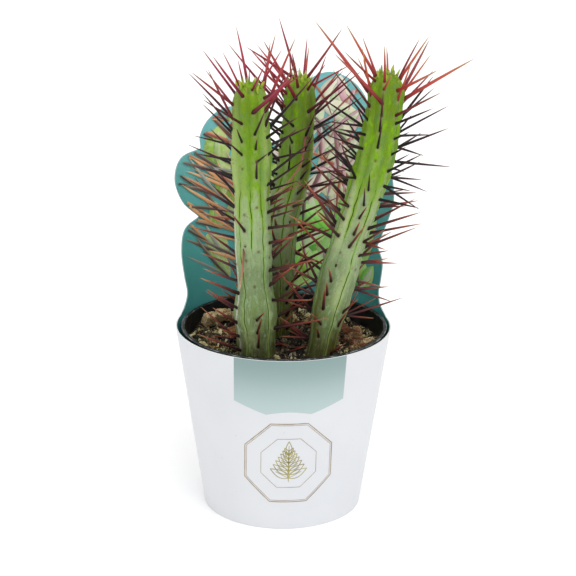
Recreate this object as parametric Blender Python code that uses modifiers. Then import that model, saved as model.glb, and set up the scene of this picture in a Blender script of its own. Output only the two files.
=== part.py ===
"""Potted euphorbia in a card sleeve.

Three ribbed, spiny stems stand in soil in a nursery pot. A one-piece card sleeve wraps the pot
and rises behind the stems as a scalloped panel. Sizes are millimetres, and become metres where
vertices are made. The origin is on the pot's axis, on the surface that the pot stands on, and
the front faces -Y. Azimuths on a stem count from the front, positive towards +X.
"""

import math
import random

import bmesh
import bpy
from mathutils import Matrix, Vector, noise

MM = 0.001
CLEARANCE = 0.3

# Nursery pot
RIM_HEIGHT = 104.4
RIM_RADIUS = 57.0
LIP_WIDTH = 1.9
LIP_DEPTH = 2.4
LIP_ROUND = 0.5
FOOT_ROUND = 1.0
BAND_BOTTOM = 90.0
BAND_TOP_RADIUS = 55.4
BAND_BOTTOM_RADIUS = 55.0
SHOULDER_RADIUS = 53.4
POT_FOOT_RADIUS = 41.6
POT_WALL = 1.2
POT_BASE = 1.5
POT_STEPS = 48
DRAIN_HOLES = 6
DRAIN_RADIUS = 4.5
DRAIN_CIRCLE = 31.0
DRAIN_SIDES = 16
DRAIN_CUT = 8.0

# Card sleeve and its back panel
CARD = 0.7
SLEEVE_FOOT_RADIUS = 44.2
SLEEVE_TAPER = 0.1494
SLEEVE_TOP = 104.0
SLEEVE_CENTRE = (-0.4, 1.0)
SLEEVE_STEPS = 64
KEEP_SPAN = 200.0
KEEP_SPARE = 10.0
PANEL_REACH = 240.0
PANEL_FOOT = 60.0
PANEL_DEPTH = 90.0
PANEL_CURVE_STEPS = 4
# Each lobe is a smooth run of (x, z) points, and lobes meet in sharp notches.
PANEL_LOBES = (
    ((-59.3, 101.0), (-58.6, 104.2), (-56.6, 107.0), (-55.4, 113.0), (-57.0, 123.0), (-58.6, 137.0),
     (-57.0, 148.0), (-49.6, 152.5)),
    ((-49.6, 152.5), (-58.0, 163.0), (-62.3, 177.0), (-59.3, 187.6), (-48.7, 190.5)),
    ((-48.7, 190.5), (-48.9, 198.0), (-44.4, 206.0), (-35.7, 211.3), (-26.0, 210.5), (-18.0, 204.0),
     (-14.0, 188.0)),
    ((-14.0, 188.0), (-5.5, 189.3), (4.0, 188.0)),
    ((4.0, 188.0), (6.5, 205.0), (10.0, 219.0), (15.4, 227.7), (24.5, 231.2), (33.0, 229.8),
     (41.0, 224.7), (46.5, 216.0), (46.0, 204.0)),
    ((46.0, 204.0), (53.0, 198.5), (58.5, 188.0), (61.2, 170.0), (59.5, 159.0), (52.9, 138.5)),
    ((52.9, 138.5), (55.6, 131.0), (55.0, 122.0), (53.9, 114.0), (54.7, 107.5), (57.7, 104.2),
     (59.3, 101.0)),
)

# Soil
SOIL_LEVEL = 93.6
SOIL_BOTTOM = POT_BASE + CLEARANCE
SOIL_COLUMNS = 36
SOIL_RINGS = 9
SOIL_EDGE = 0.2
SOIL_COARSE = (17.0, 1.5)
SOIL_FINE = (6.0, 0.7)
SOIL_MOUND = (16.0, 1.6)
CHIP_COUNT = 34
CHIP_SEED = 5
CHIP_SPREAD = 43.0
CHIP_SIZES = ((6.0, 12.5), (4.5, 8.0), (3.0, 4.6))
CHIP_TILT = 0.35
CHIP_LIFT = 1.2
CHIP_ROUGH = (0.85, 1.1)
CHIP_FROM_STEM = 19.5
HOLE_DEPTH = 22.0
HOLE_TOP = 12.0
HOLE_GAP = 0.7
HOLE_SIDES = 28

# Stems
PEG_RADIUS = 5.5
NECK_DROP = 3.0
NECK_SHARE = 0.86
AREOLE_PITCH = 8.0
RIB_COLUMNS = (0.0, 0.34, 0.66)
CREASE_LOW = 1.3
CREASE_HIGH = 2.3
CREASE_START = 8.0
CREASE_TRACE = 0.12
TUBERCLE = 0.55
RIB_DIP = 0.15
DOME = 13.0
DOME_POWER = 2.2
APEX_GAP = 1.0

# Spines
SPINE_RADIUS = 0.75
SPINE_ROOT = 3.0
SPINE_SIDES = 3
AREOLE_STAND = 0.2
AREOLE_STAGGER = (10.0, 6.0)
AREOLE_JITTER = 0.8
AREOLE_SPACING = 4.0
CROWN = 26.0
CROWN_PITCH = 7.0
CROWN_LIFT = (30.0, 68.0)
CROWN_LENGTH = (20.0, 37.0)
FLANK_LIFT = (8.0, 46.0)
FLANK_LENGTH = (16.0, 33.0)
FRONT_HALF = 45.0
FRONT_LIFT = (28.0, 58.0)
FRONT_LENGTH = (11.0, 20.0)
PAIR_DROP = 20.0
PAIR_SHORTER = 0.75
SWING = 20.0
LOW_SHARE = 0.58
BARE_SHARE = 0.1

# Each stem: axis through (x, y, z) points from soil to apex, radius by height above the soil,
# crease azimuths at the bottom, middle and top, and the height from which a crease exists. The few
# longest spines of its crown are (height, azimuth, lift, sideways swing, length), and a rule grows
# all the others. Pairs is the share of flank areoles with two spines, and bare gives the heights
# and the half angle of a front that has lost its spines.
STEMS = {
    "stem_left": {
        "axis": (
            (-14.8, -25.0, 93.6), (-15.8, -24.0, 132.0), (-17.4, -22.5, 170.0), (-18.1, -21.0, 208.0),
            (-18.9, -20.0, 244.6)),
        "radius": (
            (0.0, 10.2), (12.0, 10.6), (25.0, 11.8), (43.0, 9.3), (65.0, 10.0), (89.0, 9.4), (112.0, 10.8),
            (132.0, 9.6), (151.0, 9.4)),
        "creases": (
            (-23, 8, 40, 85, 130, 178, 225, 278), (-44, -2, 37, 80, 125, 172, 220, 270),
            (-46, -7, 31, 74, 119, 167, 214, 264)),
        "births": {1: 56.0},
        "crown": (
            (140, -65, 40, -5, 29), (145, -25, 42, -5, 37), (149, -70, 64, 5, 21), (149, 95, 58, 5, 22),
            (137, 12, 34, 24, 48), (148, 12, 40, 10, 23)),
        "pairs": 0.1,
        "bare": (30.0, 100.0, 50.0),
        "seed": 11,
    },
    "stem_middle": {
        "axis": (
            (-5.0, 12.0, 93.6), (-3.8, 12.0, 135.0), (-0.8, 12.0, 165.0), (4.5, 12.0, 190.0),
            (6.6, 12.0, 215.0), (8.0, 12.0, 241.4)),
        "radius": (
            (0.0, 9.4), (40.0, 9.4), (70.0, 9.0), (84.0, 9.5), (105.0, 9.4), (128.0, 8.6), (150.0, 8.6)),
        "creases": (
            (-30, 18, 62, 108, 152, 198, 243, 288), (-42, 3, 48, 93, 138, 183, 228, 273),
            (-36, 9, 54, 99, 144, 189, 234, 279)),
        "births": {4: 40.0},
        "crown": (
            (130, -100, 46, 5, 46), (142, -100, 42, 0, 28), (138, -15, 48, -22, 47), (123, -18, 28, -8, 30),
            (143, 32, 44, -5, 25), (131, 33, 38, 10, 47), (136, 78, 52, 0, 23)),
        "pairs": 0.1,
        "bare": None,
        "seed": 23,
    },
    "stem_right": {
        "axis": (
            (19.6, -24.0, 93.6), (25.4, -23.0, 125.0), (33.0, -21.0, 155.0), (41.3, -19.0, 182.0),
            (47.8, -17.5, 205.0), (51.4, -16.0, 228.0), (53.3, -15.0, 249.2)),
        "radius": (
            (0.0, 7.4), (13.0, 7.5), (32.0, 9.7), (48.0, 10.1), (66.0, 9.0), (84.0, 9.1), (103.0, 10.2),
            (124.0, 9.9), (140.0, 9.4), (158.0, 9.4)),
        "creases": (
            (-28, 12, 66, 112, 157, 202, 247, 292), (-24, 30, 72, 116, 160, 204, 248, 290),
            (-41, 14, 58, 103, 148, 193, 238, 280)),
        "births": {0: 62.0},
        "crown": (
            (149, -98, 46, -5, 46), (145, -14, 34, -32, 48), (157, -100, 54, 0, 31), (156, -16, 64, 0, 22),
            (157, 85, 62, 0, 27), (151, 85, 60, 5, 24), (152, 35, 28, 0, 34), (147, 81, 36, 8, 42),
            (139, 37, 32, 5, 34)),
        "pairs": 0.45,
        "bare": None,
        "seed": 37,
    },
}


def clear_scene():
    for thing in list(bpy.data.objects):
        bpy.data.objects.remove(thing, do_unlink=True)


def new_collection(name):
    group = bpy.data.collections.new(name)
    bpy.context.scene.collection.children.link(group)
    return group


def plain_material(name, colour, roughness):
    material = bpy.data.materials.new(name)
    material.use_nodes = True
    shader = material.node_tree.nodes["Principled BSDF"]
    shader.inputs["Base Color"].default_value = (*colour, 1.0)
    shader.inputs["Roughness"].default_value = roughness
    shader.inputs["Metallic"].default_value = 0.0
    return material


def object_from_bmesh(name, bm, group, material=None):
    mesh = bpy.data.meshes.new(name)
    bm.to_mesh(mesh)
    bm.free()
    thing = bpy.data.objects.new(name, mesh)
    group.objects.link(thing)
    if material:
        mesh.materials.append(material)
    return thing


def hide_as_cutter(thing):
    thing.hide_render = True
    thing.display_type = "WIRE"


def add_boolean(thing, operation, other=None, group=None, solver="EXACT"):
    cut = thing.modifiers.new(operation.title(), "BOOLEAN")
    cut.operation = operation
    cut.solver = solver
    if group:
        cut.operand_type = "COLLECTION"
        cut.collection = group
    else:
        cut.object = other
    return cut


def apply_modifiers(thing):
    depsgraph = bpy.context.evaluated_depsgraph_get()
    mesh = bpy.data.meshes.new_from_object(thing.evaluated_get(depsgraph))
    mesh.name = thing.name
    thing.modifiers.clear()
    thing.data = mesh


def remove_group(group):
    for thing in list(group.objects):
        bpy.data.objects.remove(thing, do_unlink=True)
    bpy.data.collections.remove(group)


def keep_largest_body(thing):
    """Fills the hollows that a union sealed, and drops its loose scraps."""
    bm = bmesh.new()
    bm.from_mesh(thing.data)
    left = set(bm.verts)
    bodies = []
    while left:
        body = set()
        waiting = [left.pop()]
        while waiting:
            vert = waiting.pop()
            body.add(vert)
            for edge in vert.link_edges:
                other = edge.other_vert(vert)
                if other in left:
                    left.discard(other)
                    waiting.append(other)
        bodies.append(body)
    bodies.sort(key=len)
    for body in bodies[:-1]:
        bmesh.ops.delete(bm, geom=list(body), context="VERTS")
    bm.to_mesh(thing.data)
    bm.free()


def union_with_group(thing, group):
    """Fuses a collection's pieces into a solid and removes the collection."""
    add_boolean(thing, "UNION", group=group)
    apply_modifiers(thing)
    remove_group(group)
    keep_largest_body(thing)


def smooth_round(thing, degrees):
    thing.data.shade_smooth()
    thing.data.set_sharp_from_angle(angle=math.radians(degrees))


def spline_point(points, place):
    """Catmull-Rom point at a place counted in spans along the control points."""
    last = len(points) - 1
    span = min(int(place), last - 1)
    part = place - span
    p1 = Vector(points[span])
    p2 = Vector(points[span + 1])
    p0 = Vector(points[span - 1]) if span > 0 else p1 * 2.0 - p2
    p3 = Vector(points[span + 2]) if span + 2 <= last else p2 * 2.0 - p1
    cubic = (p1 - p2) * 3.0 + p3 - p0
    square = p0 * 2.0 - p1 * 5.0 + p2 * 4.0 - p3
    return p1 + ((p2 - p0) * part + square * part ** 2 + cubic * part ** 3) * 0.5


def blend_pairs(pairs, x):
    """Smooth value at x from (x, value) pairs."""
    if x <= pairs[0][0]:
        return pairs[0][1]
    for (x0, y0), (x1, y1) in zip(pairs, pairs[1:]):
        if x <= x1:
            part = (x - x0) / (x1 - x0)
            part = part * part * (3.0 - 2.0 * part)
            return y0 + (y1 - y0) * part
    return pairs[-1][1]


class Stem:
    """The form of one stem: its axis, ribs and areoles, in millimetres."""

    AXIS_SAMPLES = 160
    AXIS_WINDOW = 4

    def __init__(self, spec):
        self.spec = spec
        spans = len(spec["axis"]) - 1
        samples = self.AXIS_SAMPLES
        self.points = [spline_point(spec["axis"], spans * i / samples) for i in range(samples + 1)]
        self.lengths = [0.0]
        for a, b in zip(self.points, self.points[1:]):
            self.lengths.append(self.lengths[-1] + (b - a).length)
        self.height = self.lengths[-1]

    def frame(self, s):
        """Axis point, direction along the stem, and the front and side directions at height s."""
        if s <= 0.0:
            along = (self.points[1] - self.points[0]).normalized()
            point = self.points[0] + along * s
        else:
            i = 0
            while i < len(self.lengths) - 2 and self.lengths[i + 1] < s:
                i += 1
            step = self.lengths[i + 1] - self.lengths[i]
            part = min((s - self.lengths[i]) / step, 1.0)
            point = self.points[i].lerp(self.points[i + 1], part)
            before = self.points[max(i - self.AXIS_WINDOW, 0)]
            after = self.points[min(i + 1 + self.AXIS_WINDOW, len(self.points) - 1)]
            along = (after - before).normalized()
        front = Vector((0.0, -1.0, 0.0))
        front = (front - along * front.dot(along)).normalized()
        side = front.cross(along)
        if side.x < 0.0:
            side = -side
        return point, along, front, side

    def crest_radius(self, s):
        """Radius over the ribs, closing in a dome at the apex."""
        radius = blend_pairs(self.spec["radius"], s)
        into_dome = s - (self.height - DOME)
        if into_dome > 0.0:
            part = min(into_dome / DOME, 1.0)
            radius *= math.sqrt(max(1.0 - part ** DOME_POWER, 0.0))
        return radius

    def crease(self, k, s):
        """Azimuth of crease k at height s, in degrees."""
        low, middle, high = self.spec["creases"]
        turn = 360.0 * (k // len(low))
        k %= len(low)
        half = self.height * 0.5
        return turn + blend_pairs(((0.0, low[k]), (half, middle[k]), (self.height, high[k])), s)

    def crease_depth(self, k, s):
        k %= len(self.spec["creases"][0])
        rise = min(max(s / self.height, 0.0), 1.0)
        depth = CREASE_LOW + (CREASE_HIGH - CREASE_LOW) * rise
        birth = self.spec["births"].get(k)
        if birth is not None:
            depth *= min(max((s - birth) / CREASE_START, CREASE_TRACE), 1.0)
        closing = self.crest_radius(s) / blend_pairs(self.spec["radius"], s)
        return depth * closing

    def rib_count(self):
        return len(self.spec["creases"][0])

    def rib_azimuth(self, k, s):
        """Azimuth of rib k's crest, which lies between the creases k and k + 1."""
        left, right = k, k + 1
        births = self.spec["births"]
        count = self.rib_count()
        if births.get(left % count, 0.0) > s:
            left -= 1
        if births.get(right % count, 0.0) > s:
            right += 1
        return 0.5 * (self.crease(left, s) + self.crease(right, s))

    def rib_exists(self, k, s):
        return self.spec["births"].get(k % self.rib_count(), 0.0) <= s

    def point(self, s, azimuth, radius):
        centre, _, front, side = self.frame(s)
        angle = math.radians(azimuth)
        return centre + (front * math.cos(angle) + side * math.sin(angle)) * radius

    def spine(self, s, azimuth, lift, swing, length):
        """Start on the crest and tip of a spine, from its lift and sideways swing in degrees."""
        start = self.point(s, azimuth, self.crest_radius(s) + AREOLE_STAND)
        _, along, front, side = self.frame(s)
        angle = math.radians(azimuth + swing)
        out = front * math.cos(angle) + side * math.sin(angle)
        rise = math.radians(lift)
        direction = out * math.cos(rise) + along * math.sin(rise)
        return start, start + direction * length


def segment_gap(a, b, c, d):
    """Shortest distance between the segments a-b and c-d."""
    u = b - a
    v = d - c
    w = a - c
    uu, uv, vv = u.dot(u), u.dot(v), v.dot(v)
    uw, vw = u.dot(w), v.dot(w)
    bottom = uu * vv - uv * uv
    s = min(max((uv * vw - vv * uw) / bottom, 0.0), 1.0) if bottom > 1e-9 else 0.0
    t = min(max((uv * s + vw) / vv, 0.0), 1.0)
    s = min(max((uv * t - uw) / uu, 0.0), 1.0)
    return ((a + u * s) - (c + v * t)).length


def sleeve_radius(z):
    return SLEEVE_FOOT_RADIUS + SLEEVE_TAPER * z


def soil_height(x, y):
    """Height of the soil's lumpy top, which rises a little round each stem."""
    lumps = 0.0
    for layer, (width, height) in enumerate((SOIL_COARSE, SOIL_FINE)):
        lumps += noise.noise(Vector((x / width, y / width, 0.3 + 3.8 * layer))) * height
    spread, rise = SOIL_MOUND
    mound = 0.0
    for spec in STEMS.values():
        foot = spec["axis"][0]
        mound = max(mound, math.exp(-((x - foot[0]) ** 2 + (y - foot[1]) ** 2) / spread ** 2))
    return SOIL_LEVEL + lumps + rise * mound


class SpineField:
    """Every spine on the plant, kept clear of other stems, the soil, the pot and the card."""

    GAP = 0.5
    BODY_STEP = 10.0
    MOUTH_MARGIN = 6.0
    RIM_MARGIN = 3.0
    SOIL_MARGIN = 5.0
    CARD_MARGIN = 3.0
    CARD_HALF_WIDTH = 66.0
    TRIES = 12
    FULL_TRIES = 3
    SHORTER = 0.9

    def __init__(self, stems):
        self.stems = stems
        self.placed = {name: [] for name in stems}
        self.bodies = {name: self.body_segments(stem) for name, stem in stems.items()}

    def body_segments(self, stem):
        steps = int(stem.height / self.BODY_STEP)
        ends = [stem.height * i / steps for i in range(steps + 1)]
        segments = []
        for low, high in zip(ends, ends[1:]):
            radius = max(stem.crest_radius(low), stem.crest_radius(high)) + TUBERCLE
            segments.append((stem.frame(low)[0], stem.frame(high)[0], radius))
        return segments

    def is_clear(self, name, start, tip):
        for other, segments in self.bodies.items():
            if other == name:
                continue
            for low, high, radius in segments:
                if segment_gap(start, tip, low, high) < radius + SPINE_RADIUS + self.GAP:
                    return False
        need = 2.0 * SPINE_RADIUS + self.GAP
        for other, spines in self.placed.items():
            if other != name and any(segment_gap(start, tip, *spine) < need for spine in spines):
                return False
        for part in (0.25, 0.5, 0.75, 1.0):
            point = start.lerp(tip, part)
            if not self.in_open_air(point):
                return False
        return True

    def in_open_air(self, point):
        reach = math.hypot(point.x, point.y)
        if point.z < RIM_HEIGHT + self.RIM_MARGIN and reach > RIM_RADIUS - self.MOUTH_MARGIN:
            return False
        if reach < RIM_RADIUS and point.z < soil_height(point.x, point.y) + self.SOIL_MARGIN:
            return False
        from_card = math.hypot(point.x - SLEEVE_CENTRE[0], point.y - SLEEVE_CENTRE[1])
        behind = point.y > 0.0 and abs(point.x) < self.CARD_HALF_WIDTH and point.z < PANEL_REACH
        return not (behind and from_card > sleeve_radius(point.z) - self.CARD_MARGIN)

    def grow(self):
        """The crowns' longest spines on every stem first, then those of each areole that is left."""
        for name, stem in self.stems.items():
            for row in stem.spec["crown"]:
                start, tip = stem.spine(*row)
                if self.is_clear(name, start, tip):
                    self.placed[name].append((start, tip))
        for name, stem in self.stems.items():
            draw = random.Random(stem.spec["seed"])
            taken = [start for start, _ in self.placed[name]]
            for k in range(stem.rib_count()):
                s = AREOLE_STAGGER[k % 2]
                while s < stem.height - APEX_GAP:
                    place = s + draw.uniform(-AREOLE_JITTER, AREOLE_JITTER)
                    self.grow_areole(name, stem, k, place, draw, taken)
                    s += CROWN_PITCH if s > stem.height - CROWN else AREOLE_PITCH

    def is_bare(self, stem, s, azimuth, roll):
        """True where an areole has lost its spines, which is commoner low on the stem."""
        if roll > LOW_SHARE + (1.0 - LOW_SHARE) * s / stem.height:
            return True
        bare = stem.spec["bare"]
        return bool(bare) and bare[0] < s < bare[1] and abs(azimuth) < bare[2] and roll > BARE_SHARE

    def grow_areole(self, name, stem, k, s, draw, taken):
        """Long spines on the flanks, some in pairs, short ones in front and steep ones in the crown."""
        roll = draw.random()
        azimuth = (stem.rib_azimuth(k, s) + 180.0) % 360.0 - 180.0
        if not stem.rib_exists(k, s) or self.is_bare(stem, s, azimuth, roll):
            return
        start = stem.point(s, azimuth, stem.crest_radius(s))
        if any((start - other).length < AREOLE_SPACING for other in taken):
            return
        if s > stem.height - CROWN:
            self.grow_spine(name, (s, azimuth), CROWN_LIFT, CROWN_LENGTH, draw)
        elif abs(azimuth) < FRONT_HALF:
            self.grow_spine(name, (s, azimuth), FRONT_LIFT, FRONT_LENGTH, draw)
        else:
            self.grow_spine(name, (s, azimuth), FLANK_LIFT, FLANK_LENGTH, draw)
            if draw.random() < stem.spec["pairs"]:
                lower = [lift - PAIR_DROP for lift in FLANK_LIFT]
                shorter = [length * PAIR_SHORTER for length in FLANK_LENGTH]
                self.grow_spine(name, (s, azimuth), lower, shorter, draw)

    def grow_spine(self, name, place, lifts, lengths, draw):
        """One spine drawn from the ranges, and shortened where it would touch something."""
        for attempt in range(self.TRIES):
            lift = draw.uniform(*lifts)
            swing = draw.uniform(-SWING, SWING)
            length = draw.uniform(*lengths) * self.SHORTER ** max(attempt - self.FULL_TRIES, 0)
            start, tip = self.stems[name].spine(*place, lift, swing, length)
            if self.is_clear(name, start, tip):
                self.placed[name].append((start, tip))
                return


def make_pot(group, cutters):
    """Turned pot with a lip, a stepped band under it and drain holes near the base's edge."""
    lip_bottom = RIM_HEIGHT - LIP_DEPTH
    inside_foot = POT_FOOT_RADIUS - POT_WALL
    step = BAND_BOTTOM + POT_WALL
    profile = [
        (0.0, POT_BASE),
        (inside_foot, POT_BASE),
        (SHOULDER_RADIUS - POT_WALL, BAND_BOTTOM),
        (BAND_BOTTOM_RADIUS - POT_WALL, step),
        (RIM_RADIUS - LIP_WIDTH, RIM_HEIGHT - LIP_ROUND),
        (RIM_RADIUS - LIP_WIDTH + LIP_ROUND, RIM_HEIGHT),
        (RIM_RADIUS - LIP_ROUND, RIM_HEIGHT),
        (RIM_RADIUS, RIM_HEIGHT - LIP_ROUND),
        (RIM_RADIUS, lip_bottom),
        (BAND_TOP_RADIUS, lip_bottom - LIP_ROUND),
        (BAND_BOTTOM_RADIUS, BAND_BOTTOM),
        (SHOULDER_RADIUS, BAND_BOTTOM - LIP_ROUND),
        (POT_FOOT_RADIUS, FOOT_ROUND),
        (POT_FOOT_RADIUS - FOOT_ROUND, 0.0),
        (0.0, 0.0),
    ]
    bm = bmesh.new()
    verts = [bm.verts.new((x * MM, 0.0, z * MM)) for x, z in profile]
    for a, b in zip(verts, verts[1:]):
        bm.edges.new((a, b))
    pot = object_from_bmesh("pot", bm, group, plain_material("pot_plastic", (0.012, 0.013, 0.014), 0.5))
    screw = pot.modifiers.new("Turn", "SCREW")
    screw.steps = POT_STEPS
    screw.render_steps = POT_STEPS
    screw.use_merge_vertices = True
    screw.merge_threshold = 0.00001
    for i in range(DRAIN_HOLES):
        angle = math.tau * (i + 0.5) / DRAIN_HOLES
        bm = bmesh.new()
        bmesh.ops.create_cone(bm, cap_ends=True, segments=DRAIN_SIDES, radius1=DRAIN_RADIUS * MM,
                              radius2=DRAIN_RADIUS * MM, depth=DRAIN_CUT * MM)
        place = Vector((math.cos(angle), math.sin(angle), 0.0)) * DRAIN_CIRCLE * MM
        hole = object_from_bmesh("drain_cutter_%d" % i, bm, cutters)
        hole.location = place
        hide_as_cutter(hole)
    bpy.context.view_layer.update()
    add_boolean(pot, "DIFFERENCE", group=cutters)
    apply_modifiers(pot)
    smooth_round(pot, 30.0)


def panel_outline():
    """Outline of the back panel seen from the front, closed below the pot's rim."""
    points = []
    for lobe in PANEL_LOBES:
        flat = [(x, z, 0.0) for x, z in lobe]
        spans = len(flat) - 1
        count = spans * PANEL_CURVE_STEPS
        points += [spline_point(flat, spans * i / count) for i in range(count)]
    points.append(Vector((*PANEL_LOBES[-1][-1], 0.0)))
    points.append(Vector((PANEL_LOBES[-1][-1][0], PANEL_FOOT, 0.0)))
    points.append(Vector((PANEL_LOBES[0][0][0], PANEL_FOOT, 0.0)))
    return points


def make_sleeve(group, cutters):
    """A cone of card, kept below the rim all round and above it only inside the panel's outline."""
    curve = bpy.data.curves.new("panel_outline", "CURVE")
    curve.dimensions = "2D"
    curve.fill_mode = "BOTH"
    curve.extrude = PANEL_DEPTH * 0.5 * MM
    outline = panel_outline()
    run = curve.splines.new("POLY")
    run.points.add(len(outline) - 1)
    for place, point in zip(run.points, outline):
        place.co = (point.x * MM, point.y * MM, 0.0, 1.0)
    run.use_cyclic_u = True
    drawn = bpy.data.objects.new("panel_curve", curve)
    cutters.objects.link(drawn)
    upright = Matrix.Rotation(math.pi / 2, 4, "X")
    drawn.matrix_world = Matrix.Translation((0.0, curve.extrude, 0.0)) @ upright
    bpy.context.view_layer.update()
    mesh = bpy.data.meshes.new_from_object(drawn.evaluated_get(bpy.context.evaluated_depsgraph_get()))
    bm = bmesh.new()
    bm.from_mesh(mesh)
    bmesh.ops.remove_doubles(bm, verts=bm.verts, dist=0.00001)
    bmesh.ops.recalc_face_normals(bm, faces=bm.faces)
    panel_space = object_from_bmesh("panel_space", bm, cutters)
    panel_space.matrix_world = drawn.matrix_world.copy()
    bpy.data.objects.remove(drawn, do_unlink=True)

    bm = bmesh.new()
    bmesh.ops.create_cube(bm, size=1.0)
    height = SLEEVE_TOP + KEEP_SPARE
    bmesh.ops.scale(bm, verts=bm.verts, vec=Vector((KEEP_SPAN, KEEP_SPAN, height)) * MM)
    bmesh.ops.translate(bm, verts=bm.verts, vec=(0.0, 0.0, (SLEEVE_TOP - height * 0.5) * MM))
    keep = object_from_bmesh("sleeve_space", bm, cutters)
    add_boolean(keep, "UNION", other=panel_space)
    hide_as_cutter(keep)
    hide_as_cutter(panel_space)

    bm = bmesh.new()
    bmesh.ops.create_cone(bm, cap_ends=False, segments=SLEEVE_STEPS, radius1=sleeve_radius(0.0) * MM,
                          radius2=sleeve_radius(PANEL_REACH) * MM, depth=PANEL_REACH * MM)
    centre = (SLEEVE_CENTRE[0] * MM, SLEEVE_CENTRE[1] * MM, PANEL_REACH * 0.5 * MM)
    bmesh.ops.translate(bm, verts=bm.verts, vec=centre)
    sleeve = object_from_bmesh("sleeve", bm, group, plain_material("sleeve_card", (0.80, 0.80, 0.80), 0.55))
    shell = sleeve.modifiers.new("Card", "SOLIDIFY")
    shell.thickness = CARD * MM
    shell.offset = -1.0
    add_boolean(sleeve, "INTERSECT", other=keep)
    apply_modifiers(sleeve)
    smooth_round(sleeve, 30.0)


def chip_cutters(group):
    """Bark chips that lie half sunk in the soil, drawn by a seeded rule."""
    draw = random.Random(CHIP_SEED)
    feet = [spec["axis"][0] for spec in STEMS.values()]
    made = 0
    while made < CHIP_COUNT:
        reach = CHIP_SPREAD * math.sqrt(draw.random())
        angle = draw.uniform(0.0, math.tau)
        x, y = reach * math.cos(angle), reach * math.sin(angle)
        size = Vector([draw.uniform(*limits) for limits in CHIP_SIZES])
        tilts = (draw.uniform(-CHIP_TILT, CHIP_TILT), draw.uniform(-CHIP_TILT, CHIP_TILT))
        heading = draw.uniform(0.0, math.tau)
        if any(math.hypot(x - foot[0], y - foot[1]) < CHIP_FROM_STEM for foot in feet):
            continue
        bm = bmesh.new()
        bmesh.ops.create_cube(bm, size=1.0)
        bmesh.ops.scale(bm, verts=bm.verts, vec=size * MM)
        for vert in bm.verts:
            vert.co *= draw.uniform(*CHIP_ROUGH)
        turn = Matrix.Rotation(heading, 3, "Z") @ Matrix.Rotation(tilts[1], 3, "Y")
        turn = turn @ Matrix.Rotation(tilts[0], 3, "X")
        bmesh.ops.rotate(bm, verts=bm.verts, cent=(0.0, 0.0, 0.0), matrix=turn)
        place = Vector((x, y, soil_height(x, y) + CHIP_LIFT))
        bmesh.ops.translate(bm, verts=bm.verts, vec=place * MM)
        bmesh.ops.triangulate(bm, faces=bm.faces)
        hide_as_cutter(object_from_bmesh("chip_%02d" % made, bm, group))
        made += 1


def make_soil(group, stems):
    """Soil that fills the pot, lumpy on top, with chips in it and a plain hole for each stem."""
    shoulder = SHOULDER_RADIUS - POT_WALL - CLEARANCE
    band = BAND_BOTTOM_RADIUS - POT_WALL - CLEARANCE
    foot = POT_FOOT_RADIUS - POT_WALL - CLEARANCE
    bm = bmesh.new()

    def ring(radius, height):
        angles = [math.tau * i / SOIL_COLUMNS for i in range(SOIL_COLUMNS)]
        spots = [(radius * math.cos(a), radius * math.sin(a)) for a in angles]
        return [bm.verts.new((x * MM, y * MM, (soil_height(x, y) if height is None else height) * MM))
                for x, y in spots]

    rings = [
        ring(foot, SOIL_BOTTOM),
        ring(shoulder, BAND_BOTTOM - SOIL_EDGE),
        ring(band, BAND_BOTTOM + POT_WALL + SOIL_EDGE),
    ]
    rings += [ring(band * (SOIL_RINGS - i) / SOIL_RINGS, None) for i in range(SOIL_RINGS)]
    bm.faces.new(list(reversed(rings[0])))
    for low, high in zip(rings, rings[1:]):
        for i in range(SOIL_COLUMNS):
            j = (i + 1) % SOIL_COLUMNS
            bm.faces.new((low[i], low[j], high[j], high[i]))
    middle = bm.verts.new((0.0, 0.0, soil_height(0.0, 0.0) * MM))
    for i in range(SOIL_COLUMNS):
        bm.faces.new((rings[-1][i], rings[-1][(i + 1) % SOIL_COLUMNS], middle))
    bmesh.ops.triangulate(bm, faces=bm.faces)
    bmesh.ops.recalc_face_normals(bm, faces=bm.faces)
    soil = object_from_bmesh("soil", bm, group, plain_material("soil_mix", (0.035, 0.024, 0.017), 0.95))

    chips = new_collection("soil_chips")
    chip_cutters(chips)
    union_with_group(soil, chips)

    holes = new_collection("soil_holes")
    for name, stem in stems.items():
        point, along, _, _ = stem.frame(0.0)
        foot = stem.crest_radius(0.0)
        slope = (foot - PEG_RADIUS) / HOLE_DEPTH
        bottom = -HOLE_DEPTH - CLEARANCE
        bm = bmesh.new()
        mouth = foot + HOLE_GAP + slope * HOLE_TOP
        bmesh.ops.create_cone(bm, cap_ends=True, segments=HOLE_SIDES, radius1=(PEG_RADIUS + HOLE_GAP) * MM,
                              radius2=mouth * MM, depth=(HOLE_TOP - bottom) * MM)
        turn = Vector((0.0, 0.0, 1.0)).rotation_difference(along).to_matrix()
        bmesh.ops.rotate(bm, verts=bm.verts, cent=(0.0, 0.0, 0.0), matrix=turn)
        bmesh.ops.translate(bm, verts=bm.verts, vec=(point + along * (HOLE_TOP + bottom) * 0.5) * MM)
        hide_as_cutter(object_from_bmesh("hole_" + name, bm, holes))
    add_boolean(soil, "DIFFERENCE", group=holes)
    apply_modifiers(soil)
    remove_group(holes)


def stem_ring(bm, stem, s, row):
    """One ring of a stem: a crease and two crest edges for each rib, with a bump at each areole."""
    verts = []
    crest = stem.crest_radius(s)
    closing = crest / blend_pairs(stem.spec["radius"], s)
    for k in range(stem.rib_count()):
        left, right = stem.crease(k, s), stem.crease(k + 1, s)
        bump = TUBERCLE if (row + k) % 2 == 0 else 0.0
        for part in RIB_COLUMNS:
            radius = crest - stem.crease_depth(k, s) if part == 0.0 else crest + bump * closing - RIB_DIP
            verts.append(bm.verts.new(stem.point(s, left + (right - left) * part, radius) * MM))
    return verts


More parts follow.
